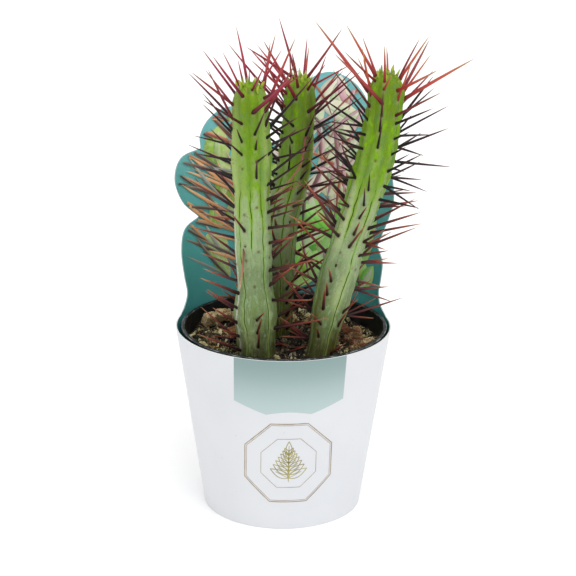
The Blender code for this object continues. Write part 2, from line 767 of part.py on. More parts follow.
def plain_ring(bm, stem, s, radius):
    """One round ring of the stem's buried end."""
    verts = []
    for k in range(stem.rib_count()):
        left, right = stem.crease(k, 0.0), stem.crease(k + 1, 0.0)
        for part in RIB_COLUMNS:
            verts.append(bm.verts.new(stem.point(s, left + (right - left) * part, radius) * MM))
    return verts


def make_stem(name, stem, spines, group, material):
    """Ribbed stem with its spines fused into it by one union."""
    bm = bmesh.new()
    rings = [
        plain_ring(bm, stem, -HOLE_DEPTH, PEG_RADIUS),
        plain_ring(bm, stem, -NECK_DROP, stem.crest_radius(0.0) * NECK_SHARE),
    ]
    step = AREOLE_PITCH * 0.5
    rows = int((stem.height - APEX_GAP) / step)
    rings += [stem_ring(bm, stem, step * row, row) for row in range(rows + 1)]
    if stem.height - step * rows > 2.5 * APEX_GAP:
        rings.append(stem_ring(bm, stem, stem.height - APEX_GAP, rows + 1))
    bm.faces.new(list(reversed(rings[0])))
    count = len(rings[0])
    for low, high in zip(rings, rings[1:]):
        for i in range(count):
            j = (i + 1) % count
            bm.faces.new((low[i], low[j], high[j], high[i]))
    apex = bm.verts.new(stem.points[-1] * MM)
    for i in range(count):
        bm.faces.new((rings[-1][i], rings[-1][(i + 1) % count], apex))
    bmesh.ops.triangulate(bm, faces=bm.faces)
    bmesh.ops.recalc_face_normals(bm, faces=bm.faces)
    body = object_from_bmesh(name, bm, group, material)

    needles = new_collection(name + "_spines")
    for index, (start, tip) in enumerate(spines):
        way = (tip - start).normalized()
        root = start - way * SPINE_ROOT
        length = (tip - root).length
        bm = bmesh.new()
        bmesh.ops.create_cone(bm, cap_ends=True, segments=SPINE_SIDES, radius2=0.0, depth=length * MM,
                              radius1=SPINE_RADIUS * length / (length - SPINE_ROOT) * MM)
        turn = Vector((0.0, 0.0, 1.0)).rotation_difference(way).to_matrix()
        bmesh.ops.rotate(bm, verts=bm.verts, cent=(0.0, 0.0, 0.0), matrix=turn)
        bmesh.ops.translate(bm, verts=bm.verts, vec=(root + tip) * 0.5 * MM)
        hide_as_cutter(object_from_bmesh("spine_%03d" % index, bm, needles))
    union_with_group(body, needles)


def main():
    clear_scene()
    plant = new_collection("potted_euphorbia")
    cutters = new_collection("cutters")
    drains = new_collection("drain_cutters")
    make_pot(plant, drains)
    make_sleeve(plant, cutters)
    stems = {name: Stem(spec) for name, spec in STEMS.items()}
    make_soil(plant, stems)
    field = SpineField(stems)
    field.grow()
    skin = plain_material("stem_skin", (0.16, 0.30, 0.07), 0.6)
    for name, stem in stems.items():
        make_stem(name, stem, field.placed[name], plant, skin)


main()
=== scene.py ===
import math
import random

import bmesh
import bpy
import numpy as np
from mathutils import Matrix, Vector, noise
from mathutils.geometry import delaunay_2d_cdt

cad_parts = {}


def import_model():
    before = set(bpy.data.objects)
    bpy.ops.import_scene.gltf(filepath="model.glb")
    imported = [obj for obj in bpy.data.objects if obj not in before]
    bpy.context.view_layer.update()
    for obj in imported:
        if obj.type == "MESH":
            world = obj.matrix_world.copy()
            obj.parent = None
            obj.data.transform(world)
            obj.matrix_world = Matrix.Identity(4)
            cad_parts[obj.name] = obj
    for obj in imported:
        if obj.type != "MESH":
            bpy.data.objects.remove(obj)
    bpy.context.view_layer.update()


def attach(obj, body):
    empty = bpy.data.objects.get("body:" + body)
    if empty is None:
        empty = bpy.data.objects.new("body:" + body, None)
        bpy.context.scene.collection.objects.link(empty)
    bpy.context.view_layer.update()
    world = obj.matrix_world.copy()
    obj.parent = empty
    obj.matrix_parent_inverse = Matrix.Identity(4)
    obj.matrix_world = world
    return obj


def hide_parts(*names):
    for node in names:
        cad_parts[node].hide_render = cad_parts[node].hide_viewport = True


# Looks of the potted euphorbia. Sizes are millimetres and become metres where vertices are made.
# The origin is on the pot's axis, on the floor, and the front faces -Y. Azimuths count from the
# front, positive towards +X.
MM = 0.001
CLEARANCE = 0.3
SHARP_ANGLE = math.radians(35.0)
PARALLEL = 1e-9

# Nursery pot
RIM_HEIGHT = 104.4
RIM_RADIUS = 57.0
LIP_WIDTH = 1.9
LIP_DEPTH = 2.4
LIP_ROUND = 0.5
FOOT_ROUND = 1.0
BAND_BOTTOM = 90.0
BAND_TOP_RADIUS = 55.4
BAND_BOTTOM_RADIUS = 55.0
SHOULDER_RADIUS = 53.4
POT_FOOT_RADIUS = 41.6
POT_WALL = 1.2
POT_BASE = 1.5
BASE_BEND = (1.0, 0.6)
POT_STEPS = 180
LIP_STEPS = 5
DRAIN_HOLES = 6
DRAIN_RADIUS = 4.5
DRAIN_CIRCLE = 31.0
DRAIN_SIDES = 32
DRAIN_CUT = 8.0

# Card sleeve and its back panel
CARD = 0.7
SLEEVE_FOOT_RADIUS = 44.2
SLEEVE_TAPER = 0.1494
SLEEVE_TOP = 104.0
SLEEVE_CENTRE = (-0.4, 1.0)
SLEEVE_COLUMNS = 200
SLEEVE_BAND_TOP = 100.0
SLEEVE_ROWS = 40
UNROLLED_RADIUS = 60.0
CARD_GRID = 2.4
CARD_MERGE = 0.01
CARD_EPSILON = 1e-5
RIM_GAP = 0.01
PANEL_REACH = 240.0
PANEL_CURVE_STEPS = 12
PANEL_LOBES = (
    ((-59.3, 101.0), (-58.6, 104.2), (-56.6, 107.0), (-55.4, 113.0), (-57.0, 123.0), (-58.6, 137.0),
     (-57.0, 148.0), (-49.6, 152.5)),
    ((-49.6, 152.5), (-58.0, 163.0), (-62.3, 177.0), (-59.3, 187.6), (-48.7, 190.5)),
    ((-48.7, 190.5), (-48.9, 198.0), (-44.4, 206.0), (-35.7, 211.3), (-26.0, 210.5), (-18.0, 204.0),
     (-14.0, 188.0)),
    ((-14.0, 188.0), (-5.5, 189.3), (4.0, 188.0)),
    ((4.0, 188.0), (6.5, 205.0), (10.0, 219.0), (15.4, 227.7), (24.5, 231.2), (33.0, 229.8),
     (41.0, 224.7), (46.5, 216.0), (46.0, 204.0)),
    ((46.0, 204.0), (53.0, 198.5), (58.5, 188.0), (61.2, 170.0), (59.5, 159.0), (52.9, 138.5)),
    ((52.9, 138.5), (55.6, 131.0), (55.0, 122.0), (53.9, 114.0), (54.7, 107.5), (57.7, 104.2),
     (59.3, 101.0)),
)

# Print on the card
INK_LIFT = 0.05
INK_LAYER = 0.015
LANE_WIDTH = 2.5
# Azimuths of the banner's sides at its top and at its lower corners, and its lower edge as
# (share of the width, height)
BANNER_TOP = (-25.6, 34.6)
BANNER_LOW = (-27.6, 35.6)
BANNER_EDGE = (
    (0.0, 78.0), (0.297, 71.7), (0.35, 72.5), (0.42, 73.2), (0.496, 73.5), (0.57, 73.2), (0.64, 72.5),
    (0.696, 71.7), (1.0, 78.0))
BANNER_COLUMNS = 64
BANNER_ROWS = 12
EMBLEM_AZIMUTH = 4.2
EMBLEM_HEIGHT = 41.8
EMBLEM_RADII = (26.4, 25.4, 16.4)
EMBLEM_LINES = (0.55, 0.3, 0.3)
EMBLEM_SIDES = 8
EMBLEM_STEP = 1.0
SPRIG_HEIGHT = 23.0
SPRIG_PAIRS = 7
SPRIG_LEAF = (11.5, 2.2)
SPRIG_LINE = 0.42
# Shares of the sprig's height: its stalk, its lowest pair of leaves and its top leaf, and the size of
# that leaf as a share of the lowest
SPRIG_STALK = 0.86
SPRIG_FIRST = 0.1
SPRIG_TOP = 0.72
SPRIG_TOP_SIZE = 0.75
# How far the leaves open, in radians, and how much less from pair to pair
SPRIG_OPEN = (1.05, 0.1)
SPRIG_SHRINK = 0.09
SPRIG_LEAF_STEPS = 8
SPRIG_LEAF_POWER = 0.8
SPRIG_VEIN = 0.7
PRINT_SEED = 41
PRINT_SPACING = 9.0
PRINT_TRIES = 2400
# Inks of the picture: colour at a leaf's foot, share of its length and colour there, colour at its
# tip, and strength of its pale veins
INKS = {
    "tan": ("#b46c40", 0.4, "#e8a066", "#f8ca98", 0.0),
    "brown": ("#332624", 0.5, "#5a4c46", "#927e70", 0.0),
    "rust": ("#6e2a22", 0.5, "#b0543c", "#d0876a", 0.0),
    "lime": ("#6fa42a", 0.5, "#9ecb42", "#bade78", 0.3),
    "leaf": ("#7da84a", 0.6, "#a6c878", "#c4d8a0", 0.2),
    "cream": ("#d2dcaa", 0.4, "#ecedcc", "#f2eee0", 0.4),
    "pink": ("#b87c90", 0.4, "#dca8b6", "#eed2d6", 0.2),
    "fresh": ("#5cc038", 0.5, "#8ae850", "#b8f290", 0.1),
    "pale": ("#a4cc8c", 0.5, "#c4dfae", "#dfead0", 0.4),
    "mauve": ("#6a4048", 0.5, "#96646c", "#b88e92", 0.0),
    "grey": ("#6c7672", 0.5, "#9aa49c", "#c4c8bc", 0.0),
}
# Zones of the picture: sideways and height range, broad leaves at each place and pairs of their inks
# (outer, middle band), and the fan of thin blades there: headings in degrees above the viewer's left,
# half spread, number, length, and inks. An ink named more often is drawn more often.
LEFT_FAN = {"heading": (26.0, 46.0), "spread": 16.0, "blades": (2, 3), "length": (26.0, 48.0)}
PRINT_ZONES = (
    {"across": (-40.0, -16.0), "up": (112.0, 182.0), "leaves": 1,
     "leaf_inks": (("lime", "leaf"), ("lime", "leaf"), ("leaf", "lime")),
     "inks": ("tan", "tan", "tan", "brown", "brown", "rust", "grey"), **LEFT_FAN},
    {"across": (-40.0, -16.0), "up": (182.0, 204.0), "leaves": 1,
     "leaf_inks": (("rust", "tan"), ("lime", "leaf"), ("lime", "leaf")),
     "inks": ("rust", "rust", "tan", "brown", "rust", "rust", "grey"), **LEFT_FAN},
    {"across": (-50.0, -40.0), "up": (136.0, 198.0), "leaves": 0, "leaf_inks": (),
     "heading": (24.0, 44.0), "spread": 14.0, "blades": (1, 2), "length": (22.0, 40.0),
     "inks": ("tan", "tan", "tan", "brown", "brown")},
    {"across": (-5.0, 46.0), "up": (150.0, 212.0), "leaves": 1,
     "leaf_inks": (("cream", "cream"), ("cream", "pale"), ("cream", "pink"), ("pale", "cream")),
     "heading": (60.0, 130.0), "spread": 50.0, "blades": (1, 2), "length": (20.0, 40.0),
     "inks": ("brown", "pink", "pink", "mauve", "rust")},
    {"across": (-5.0, 46.0), "up": (106.0, 150.0), "leaves": 2,
     "leaf_inks": (("fresh", "fresh"), ("fresh", "lime"), ("fresh", "pale")),
     "heading": (60.0, 120.0), "spread": 40.0, "blades": (0, 1), "length": (18.0, 34.0),
     "inks": ("brown", "brown", "mauve")},
)
BLADE_WIDTH = (1.1, 2.4)
FAN_ARCH = 0.9
LEAF_SPAN = (16.0, 30.0)
LEAF_BREADTH = (9.0, 15.0)
PRINT_AREA = ((-60.0, 60.0), (106.0, 229.0))
PRINT_MARGIN = 1.2

# Soil
SOIL_LEVEL = 93.6
SOIL_BOTTOM = POT_BASE + CLEARANCE
# Layers of noise: width, height, seed
SOIL_COARSE = (17.0, 1.5, 0.3)
SOIL_FINE = (6.0, 0.7, 4.1)
SOIL_GRAIN = (2.1, 0.75, 7.7)
SOIL_GRIT = (0.8, 0.3, 7.7)
SOIL_MOUND = (16.0, 1.6)
SOIL_REACH = 53.9
SOIL_COLUMNS = 240
SOIL_RINGS = 84
SOIL_EDGE = 1.5
LITTER_REACH = SOIL_REACH - 1.0
SPOT_FROM_STEM = 7.5
CHIP_COUNT = 34
CHIP_SEED = 5
CHIP_SPREAD = 43.0
CHIP_SIZES = ((6.0, 12.5), (4.5, 8.0), (3.0, 4.6))
CHIP_TILT = 0.35
CHIP_LIFT = 1.2
CHIP_ROUGH = (0.85, 1.1)
CHIP_FROM_STEM = 19.5
# Chips that stand out, as (place, size, heading, lift of the near edge, rust)
CHIPS_STANDING = (
    ((-42.0, 21.0, 99.0), (8.0, 5.0, 9.0), 30.0, 25.0, 0.0),
    ((-34.5, 26.0, 100.0), (9.0, 5.0, 6.5), 10.0, 30.0, 0.4),
    ((-27.0, 27.0, 98.5), (8.0, 5.0, 5.0), -10.0, 20.0, 0.0),
    ((41.0, -1.0, 98.5), (5.0, 2.6, 12.0), -20.0, 14.0, 1.0),
    ((46.0, -8.0, 96.5), (9.0, 3.0, 5.0), 50.0, 20.0, 0.5),
    ((3.0, 30.0, 97.0), (9.0, 6.0, 5.0), 60.0, 15.0, 0.0),
)
CHIP_CUTS = 11
# Least tone of a chip and range over it
CHIP_TONES = (0.3, 0.42)
# Shares that spread tones, scars and rust evenly from one to the next
GOLDEN_SHARE = 0.618
RUST_SHARE = 0.414
CHIP_BLUNT = 0.16
# Half the diagonal of a unit cube
CHIP_HALF_DIAGONAL = 0.866
CHIP_CORE = 1.5
CHIP_APART = 31.0
# Pits and layers of a chip: scales along it, shift from chip to chip, height
CHIP_RELIEF = (((0.7, 0.7, 0.7), 5.3, 0.8), ((1.7, 1.7, 1.7), 3.1, 0.4), ((0.2, 0.5, 2.0), 9.1, 0.8))
CHIP_RELIEF_SHARE = 0.7
LITTER_SEED = 19
CRUMBS = 4200
CRUMB_SIZES = (0.6, 2.6)
CRUMB_FLAT = (0.5, 1.0)
CRUMB_TONE = (0.0, 0.7)
FLAKES = 760
FLAKE_SIZES = (1.4, 5.2)
FLAKE_FLAT = (0.16, 0.4)
FLAKE_TONE = (0.2, 1.0)
PERLITE = 34
PERLITE_SIZES = (1.2, 2.6)
PERLITE_FLAT = (0.6, 1.0)
PERLITE_TONE = (0.3, 1.0)
PERLITE_SINK = 0.4
BIT_LENGTH = (0.7, 1.3)
BIT_WIDTH = (0.5, 1.0)
BIT_ROUGH = 0.35
BIT_SKEW = 2.2
BIT_SINK = 0.15
FIBRES = 480
FIBRE_STEPS = 6
FIBRE_SIDES = 3
FIBRE_LENGTH = (3.0, 11.0)
FIBRE_RADIUS = (0.12, 0.36)
FIBRE_BEND = 1.6
FIBRE_LIFT = 0.45
FIBRE_RISE = (0.1, 0.9)
FIBRE_ARCH = 1.6
MOSS_PATCHES = ((-38.0, -14.0), (-31.0, -27.0), (-45.0, 2.0), (36.0, 14.0), (-24.0, 20.0))
MOSS_GRAINS = 150
MOSS_SIZES = (0.6, 1.7)
MOSS_FLAT = (0.5, 1.0)
MOSS_TONE = (0.0, 1.0)
MOSS_SPREAD = 3.6
MOSS_SINK = 0.3
# Tones of the loose bits
LITTER_TONES = {
    "crumbs": ((0.0, "#0a0907"), (0.38, "#1c1912"), (0.48, "#565038"), (0.56, "#bcb078"),
               (0.75, "#dcd29e"), (1.0, "#f0e8c8")),
    "pale_grains": ((0.0, "#cfcabd"), (1.0, "#f4f1e8")),
    "moss": ((0.0, "#3b4a1c"), (0.5, "#6f7c30"), (1.0, "#a5a752")),
    "straw": ((0.0, "#2c1b14"), (0.45, "#6a4630"), (1.0, "#b08a5e")),
}
FALLEN_SPINES = 26
FALLEN_LENGTH = (7.0, 15.0)
FALLEN_LIFT = (1.8, 3.0)
FALLEN_RADIUS = 0.5625

# Stems
HOLE_DEPTH = 22.0
PEG_RADIUS = 5.5
NECK_DROP = 3.0
AREOLE_PITCH = 8.0
CREASE_LOW = 1.3
CREASE_HIGH = 2.3
CREASE_START = 8.0
CREASE_TRACE = 0.12
TUBERCLE = 0.55
DOME = 13.0
DOME_POWER = 2.2
APEX_GAP = 1.0
RIB_STEPS = 18
RIB_GATHER = 0.8
GROOVE_POWER = 22.0
GROOVE_DEPTH = 0.3
VALLEY_POWER = 1.6
VALLEY_DEPTH = 0.4
RIB_ROUND = 0.35
SMOOTH_FROM = 0.55
SMOOTH_FULL = 0.66
CREASE_WAVE = (7.0, 5.0)
CREASE_SHIFT = 3.7
UNEVEN = (9.0, 0.4)
WRINKLE = (2.4, 0.12)
SKIN_APART = 3.0
SKIN_FACTS = ("skin", "rise", "crease", "halo", "foot", "scar", "cork", "bloom_and_painted_light")
RING_STEP = 0.75
TOP_GAP = 0.3
TOP_RINGS = 3
TOP_LEAST = 0.05
LEAST_CLOSING = 0.05
LEAST_DEPTH = 0.01
AREOLE_REACH = 8.0
EMPTY_BUMP = 0.45
BUMP_REACH = (2.3, 1.9)
HALO_REACH = (1.3, 1.0)
HALO_DROP = 1.2
FOOT_REACH = 1.15
SCAR_RADIUS = 0.72
SCAR_CORE = 1.6
SCAR_SHARE = 0.42
CORK_TOP = 100.0
CORK_FADE = 30.0
CORK_TURN = 38.0
CORK_BLUR = 10.0
CORK_WIDTH = 0.17
CORK_CORE = 1.3

# Spines
SPINE_FACTS = ("run", "tone", "crown", "old", "warm")
SPINE_RADIUS = 0.75
SPINE_SPREAD = (0.88, 1.08)
AREOLE_STAND = 0.2
AREOLE_STAGGER = (10.0, 6.0)
AREOLE_JITTER = 0.8
AREOLE_SPACING = 4.0
CROWN = 26.0
CROWN_PITCH = 7.0
CROWN_LIFT = (30.0, 68.0)
CROWN_LENGTH = (20.0, 37.0)
FLANK_LIFT = (8.0, 46.0)
FLANK_LENGTH = (16.0, 33.0)
FRONT_HALF = 45.0
FRONT_LIFT = (28.0, 58.0)
FRONT_LENGTH = (11.0, 20.0)
PAIR_DROP = 20.0
PAIR_SHORTER = 0.75
SWING = 20.0
LOW_SHARE = 0.58
BARE_SHARE = 0.1
SPINE_SIDES = 8
SPINE_SINK = 1.2
SPINE_BOW = 0.012
THICK_CROWN = 1.15
THICK_MIDDLE = 1.0
THICK_LOW = 1.14
THICK_SHORT = 0.82
THICK_SHORT_CROWN = 0.3
THICK_FROM = 34.0
THICK_LIMIT = 1.2
# Distance under the apex, its scatter, and the length over which spines stop being fresh and grow old
FRESH_TO = (24.0, 3.0, 9.0)
OLD_FROM = (62.0, 14.0, 16.0)
DARK_FROM = 98.0
DARK_FADE = 30.0
DARK_TONE = 0.85
WARM_SPREAD = (-0.3, 0.35)
# Thickness of a spine along its length: (share of the length, share of its base radius)
SPINE_PROFILE = (
    (0.0, 1.05), (0.04, 1.28), (0.08, 1.12), (0.14, 1.0), (0.3, 0.94), (0.5, 0.82), (0.7, 0.63),
    (0.86, 0.39), (0.95, 0.2), (1.0, 0.04))
STUB_PROFILE = SPINE_PROFILE[:6]
LEAF_PROFILE = ((0.0, 0.7), (0.2, 1.0), (0.45, 0.95), (0.7, 0.7), (0.9, 0.35), (1.0, 0.05))
LEAF_STUBS = 17
LEAF_ZONE = 4.5
LEAF_LENGTH = (2.4, 5.4)
LEAF_RADIUS = (0.5, 1.0)
LEAF_BOW = 0.16
LEAF_SCATTER = 15.0
LEAF_TOP = 0.6
LEAF_CROWDING = 1.3
LEAF_INSET = 0.4
LEAF_LEAN = (0.1, 0.7)
LEAF_SINK = 0.5
GOLDEN_TURN = 137.5
STUB_SHARE = 0.14
STUB_LIFT = (0.0, 50.0)
STUB_LENGTH = (0.7, 1.9)
STUB_RADIUS = 0.62
DETAIL_SEED = 71
# Withered stalks: (radius, route from the foot, sunk in a stem, to the tip)
DRY_STALKS = (
    (0.6, ((12.5, 6.0, 209.0), (10.5, 2.5, 209.5), (10.0, 0.0, 206.0), (8.5, -3.0, 197.5),
           (5.0, -5.0, 191.5), (-1.0, -7.0, 184.5), (-8.5, -9.5, 178.5))),
    (0.6, ((-21.5, -31.0, 158.0), (-22.0, -34.5, 149.0), (-23.5, -34.5, 136.0))),
)
STALK_STEPS = 8
STALK_PROFILE = ((0.0, 1.1), (0.3, 0.85), (0.6, 1.0), (0.85, 0.8), (1.0, 0.4))

# Each stem: axis through (x, y, z) points from soil to apex, radius by height above the soil,
# crease azimuths at the bottom, middle and top, and the height from which a crease exists. The few
# longest spines of its crown are (height, azimuth, lift, sideways swing, length), and a rule grows
# all the others. Pairs is the share of flank areoles with two spines, bare gives the heights and
# the half angle of a front that has lost its spines, and warm is how orange the young spines are.
# Bloom lists patches on the skin as (height, azimuth, reach along the stem, reach round it, strength): pale
# where positive, painted light on lit sides as well as pale wax, and dark where negative, painted shade.
# Cork is the azimuth of the rib that turned to cork.
STEMS = {
    "stem_left": {
        "axis": (
            (-14.8, -25.0, 93.6), (-15.8, -24.0, 132.0), (-17.4, -22.5, 170.0), (-18.1, -21.0, 208.0),
            (-18.9, -20.0, 244.6)),
        "radius": (
            (0.0, 10.2), (12.0, 10.6), (25.0, 11.8), (43.0, 9.3), (65.0, 10.0), (89.0, 9.4), (112.0, 10.8),
            (132.0, 9.6), (151.0, 9.4)),
        "creases": (
            (-23, 8, 40, 85, 130, 178, 225, 278), (-44, -2, 37, 80, 125, 172, 220, 270),
            (-46, -7, 31, 74, 119, 167, 214, 264)),
        "births": {1: 56.0},
        "crown": (
            (140, -65, 40, -5, 29), (145, -25, 42, -5, 37), (149, -70, 64, 5, 21), (149, 95, 58, 5, 22),
            (137, 12, 34, 24, 48), (148, 12, 40, 10, 23)),
        "pairs": 0.1,
        "bare": (30.0, 100.0, 50.0),
        "seed": 11,
        "warm": 0.15,
        "bloom_and_painted_light": (
            (0, 60, 30, 50, -0.3), (14, -10, 12, 40, 0.45), (106, -62, 46, 36, 0.62),
            (126, 62, 36, 36, 0.5)),
        "cork": -84.0,
    },
    "stem_middle": {
        "axis": (
            (-5.0, 12.0, 93.6), (-3.8, 12.0, 135.0), (-0.8, 12.0, 165.0), (4.5, 12.0, 190.0),
            (6.6, 12.0, 215.0), (8.0, 12.0, 241.4)),
        "radius": (
            (0.0, 9.4), (40.0, 9.4), (70.0, 9.0), (84.0, 9.5), (105.0, 9.4), (128.0, 8.6), (150.0, 8.6)),
        "creases": (
            (-30, 18, 62, 108, 152, 198, 243, 288), (-42, 3, 48, 93, 138, 183, 228, 273),
            (-36, 9, 54, 99, 144, 189, 234, 279)),
        "births": {4: 40.0},
        "crown": (
            (130, -100, 46, 5, 46), (142, -100, 42, 0, 28), (138, -15, 48, -22, 47), (123, -18, 28, -8, 30),
            (143, 32, 44, -5, 25), (131, 33, 38, 10, 47), (136, 78, 52, 0, 23)),
        "pairs": 0.1,
        "bare": None,
        "seed": 23,
        "warm": 0.25,
        "bloom_and_painted_light": (
            (150, 0, 60, 600, -0.2), (0, 0, 50, 600, -0.85), (102, 42, 42, 24, -0.8),
            (112, -36, 44, 26, 0.5)),
        "cork": 180.0,
    },
    "stem_right": {
        "axis": (
            (19.6, -24.0, 93.6), (25.4, -23.0, 125.0), (33.0, -21.0, 155.0), (41.3, -19.0, 182.0),
            (47.8, -17.5, 205.0), (51.4, -16.0, 228.0), (53.3, -15.0, 249.2)),
        "radius": (
            (0.0, 7.4), (13.0, 7.5), (32.0, 9.7), (48.0, 10.1), (66.0, 9.0), (84.0, 9.1), (103.0, 10.2),
            (124.0, 9.9), (140.0, 9.4), (158.0, 9.4)),
        "creases": (
            (-28, 12, 66, 112, 157, 202, 247, 292), (-24, 30, 72, 116, 160, 204, 248, 290),
            (-41, 14, 58, 103, 148, 193, 238, 280)),
        "births": {0: 62.0},
        "crown": (
            (149, -98, 46, -5, 46), (145, -14, 34, -32, 48), (157, -100, 54, 0, 31), (156, -16, 64, 0, 22),
            (157, 85, 62, 0, 27), (151, 85, 60, 5, 24), (152, 35, 28, 0, 34), (147, 81, 36, 8, 42),
            (139, 37, 32, 5, 34)),
        "pairs": 0.45,
        "bare": None,
        "seed": 37,
        "warm": 0.65,
        "bloom_and_painted_light": (
            (158, 0, 60, 600, -0.2), (28, -52, 28, 34, -0.65), (0, 50, 24, 60, -1.0),
            (80, -48, 24, 26, 0.9), (82, 34, 32, 28, 0.45), (38, 10, 16, 30, 0.6)),
        "cork": 84.0,
    },
}
STEM_FEET = [spec["axis"][0] for spec in STEMS.values()]

# Camera and light
CAMERA_PLACE = (0.002, -0.927, 0.431)
CAMERA_PITCH = 18.25
CAMERA_ROLL = 0.555
CAMERA_SENSOR = 36.0
CAMERA_LENS = 110.6
CAMERA_NEAR = 0.01
FLOOR_HALF = 6.0
FLOOR_DROP = 0.0001
WORLD_LIGHT = 0.97
KEY_LIGHT = 1.08
KEY_SOFTNESS = 50.0
KEY_FROM = (0.26, -0.66, 1.2)


# Nodes of a material

class Paint:
    """Builds one Principled material, with short names for the nodes that it uses."""

    def __init__(self, name, roughness=0.6, colour=None):
        self.material = bpy.data.materials.new(name)
        self.material.use_nodes = True
        self.tree = self.material.node_tree
        self.shader = self.tree.nodes["Principled BSDF"]
        self.shader.inputs["Roughness"].default_value = roughness
        if colour:
            self.shader.inputs["Base Color"].default_value = (*linear(colour), 1.0)

    def put(self, socket, value):
        if isinstance(value, bpy.types.NodeSocket):
            self.tree.links.new(value, socket)
        elif isinstance(value, str):
            socket.default_value = (*linear(value), 1.0)
        else:
            socket.default_value = value

    def node(self, kind, **values):
        node = self.tree.nodes.new("ShaderNode" + kind)
        for name, value in values.items():
            self.put(node.inputs[name.replace("_", " ")], value)
        return node

    def attribute(self, name, vector=False):
        node = self.node("Attribute")
        node.attribute_name = name
        return node.outputs["Vector" if vector else "Fac"]

    def place(self):
        return self.node("TexCoord").outputs["Object"]

    def stretch(self, vector, scale):
        node = self.node("Mapping", Vector=vector)
        node.inputs["Scale"].default_value = scale
        return node.outputs["Vector"]

    def noise(self, vector, scale, detail=3.0, roughness=0.55):
        node = self.node("TexNoise", Vector=vector, Scale=scale, Detail=detail, Roughness=roughness)
        return node.outputs["Fac"]

    def window(self, value, low, high, start=0.0, end=1.0):
        """Smooth step of a value between low and high."""
        node = self.node("MapRange", Value=value)
        node.interpolation_type = "SMOOTHSTEP"
        for name, number in (("From Min", low), ("From Max", high), ("To Min", start), ("To Max", end)):
            node.inputs[name].default_value = number
        return node.outputs["Result"]

    def sum(self, operation, a, b):
        node = self.node("Math")
        node.operation = operation
        self.put(node.inputs[0], a)
        self.put(node.inputs[1], b)
        return node.outputs[0]

    def times(self, *values):
        result = values[0]
        for value in values[1:]:
            result = self.sum("MULTIPLY", result, value)
        return result

    def mix(self, factor, a, b):
        node = self.node("Mix")
        node.data_type = "RGBA"
        self.put(node.inputs[0], factor)
        self.put(node.inputs[6], a)
        self.put(node.inputs[7], b)
        return node.outputs[2]

    def ramp(self, factor, stops):
        node = self.node("ValToRGB", Fac=factor)
        elements = node.color_ramp.elements
        while len(elements) < len(stops):
            elements.new(1.0)
        for element, (place, colour) in zip(elements, stops):
            element.position = place
            element.color = (*linear(colour), 1.0)
        return node.outputs["Color"]

    def split_z(self, vector):
        return self.node("SeparateXYZ", Vector=vector).outputs["Z"]

    def reach(self):
        """Distance from the pot's axis."""
        node = self.node("VectorMath", Vector=self.stretch(self.place(), (1.0, 1.0, 0.0)))
        node.operation = "LENGTH"
        return node.outputs["Value"]

    def with_painted_shade(self, colour, broad=70.0):
        """A soil colour with painted shade: dark between the stems and in scattered hollows."""
        shade_between_stems = self.window(self.reach(), 0.035, 0.02, 0.0, 0.75)
        hollow = self.window(self.noise(self.place(), broad, 2.0), 0.46, 0.36, 0.0, 0.55)
        return self.mix(self.sum("MAXIMUM", shade_between_stems, hollow), colour, "#0c0705")

    def finish(self, colour=None, roughness=None, height=None, relief=0.0002, strength=1.0):
        if colour is not None:
            self.put(self.shader.inputs["Base Color"], colour)
        if roughness is not None:
            self.put(self.shader.inputs["Roughness"], roughness)
        if height is not None:
            bump = self.node("Bump", Height=height, Strength=strength, Distance=relief)
            self.tree.links.new(bump.outputs["Normal"], self.shader.inputs["Normal"])
        return self.material


def linear(code):
    """Scene colour of an sRGB code such as #8fa476."""
    values = [int(code[i:i + 2], 16) / 255.0 for i in (1, 3, 5)]
    return [v / 12.92 if v <= 0.04045 else ((v + 0.055) / 1.055) ** 2.4 for v in values]


def pot_paint():
    paint = Paint("pot_plastic_worn", 0.42)
    place = paint.place()
    height = paint.split_z(place)
    scuff = paint.noise(paint.stretch(place, (1.0, 1.0, 5.0)), 220.0, 5.0, 0.7)
    dust = paint.noise(place, 160.0, 5.0, 0.65)
    low = paint.window(height, 0.1, 0.0945)
    dusty = paint.times(low, paint.window(dust, 0.42, 0.68))
    black = paint.mix(paint.window(scuff, 0.5, 0.78, 0.0, 0.45), "#0e0f10", "#34363a")
    # Painted highlight: pale lines along the lip's outer and inner rounded edges, broken up by the scuffs
    lip = paint.window(height, 0.1036, 0.1043)
    outer = paint.window(paint.reach(), 0.0564, 0.0569)
    inner = paint.window(paint.reach(), 0.0557, 0.0552)
    rim_edge_highlight = paint.times(lip, paint.sum("ADD", outer, inner), paint.window(scuff, 0.48, 0.6, 0.05, 1.0))
    black = paint.mix(rim_edge_highlight, black, "#8c9294")
    colour = paint.mix(paint.times(dusty, 0.5), black, "#3c342a")
    roughness = paint.window(dust, 0.3, 0.7, 0.36, 0.62)
    paint.shader.inputs["Specular IOR Level"].default_value = 0.3
    return paint.finish(colour, roughness, scuff, 0.00012, 0.5)


def card_white_paint():
    paint = Paint("card_white", 0.5)
    place = paint.place()
    fibre = paint.noise(place, 900.0, 4.0, 0.7)
    cloud = paint.noise(place, 24.0, 2.0)
    speck = paint.window(paint.noise(place, 260.0, 2.0, 0.4), 0.73, 0.8)
    white = paint.mix(paint.window(cloud, 0.35, 0.7), "#d4d6d9", "#d1d3d7")
    colour = paint.mix(paint.times(speck, 0.25), white, "#a9a8a4")
    return paint.finish(colour, paint.window(fibre, 0.2, 0.8, 0.42, 0.56), fibre, 0.00006, 0.25)


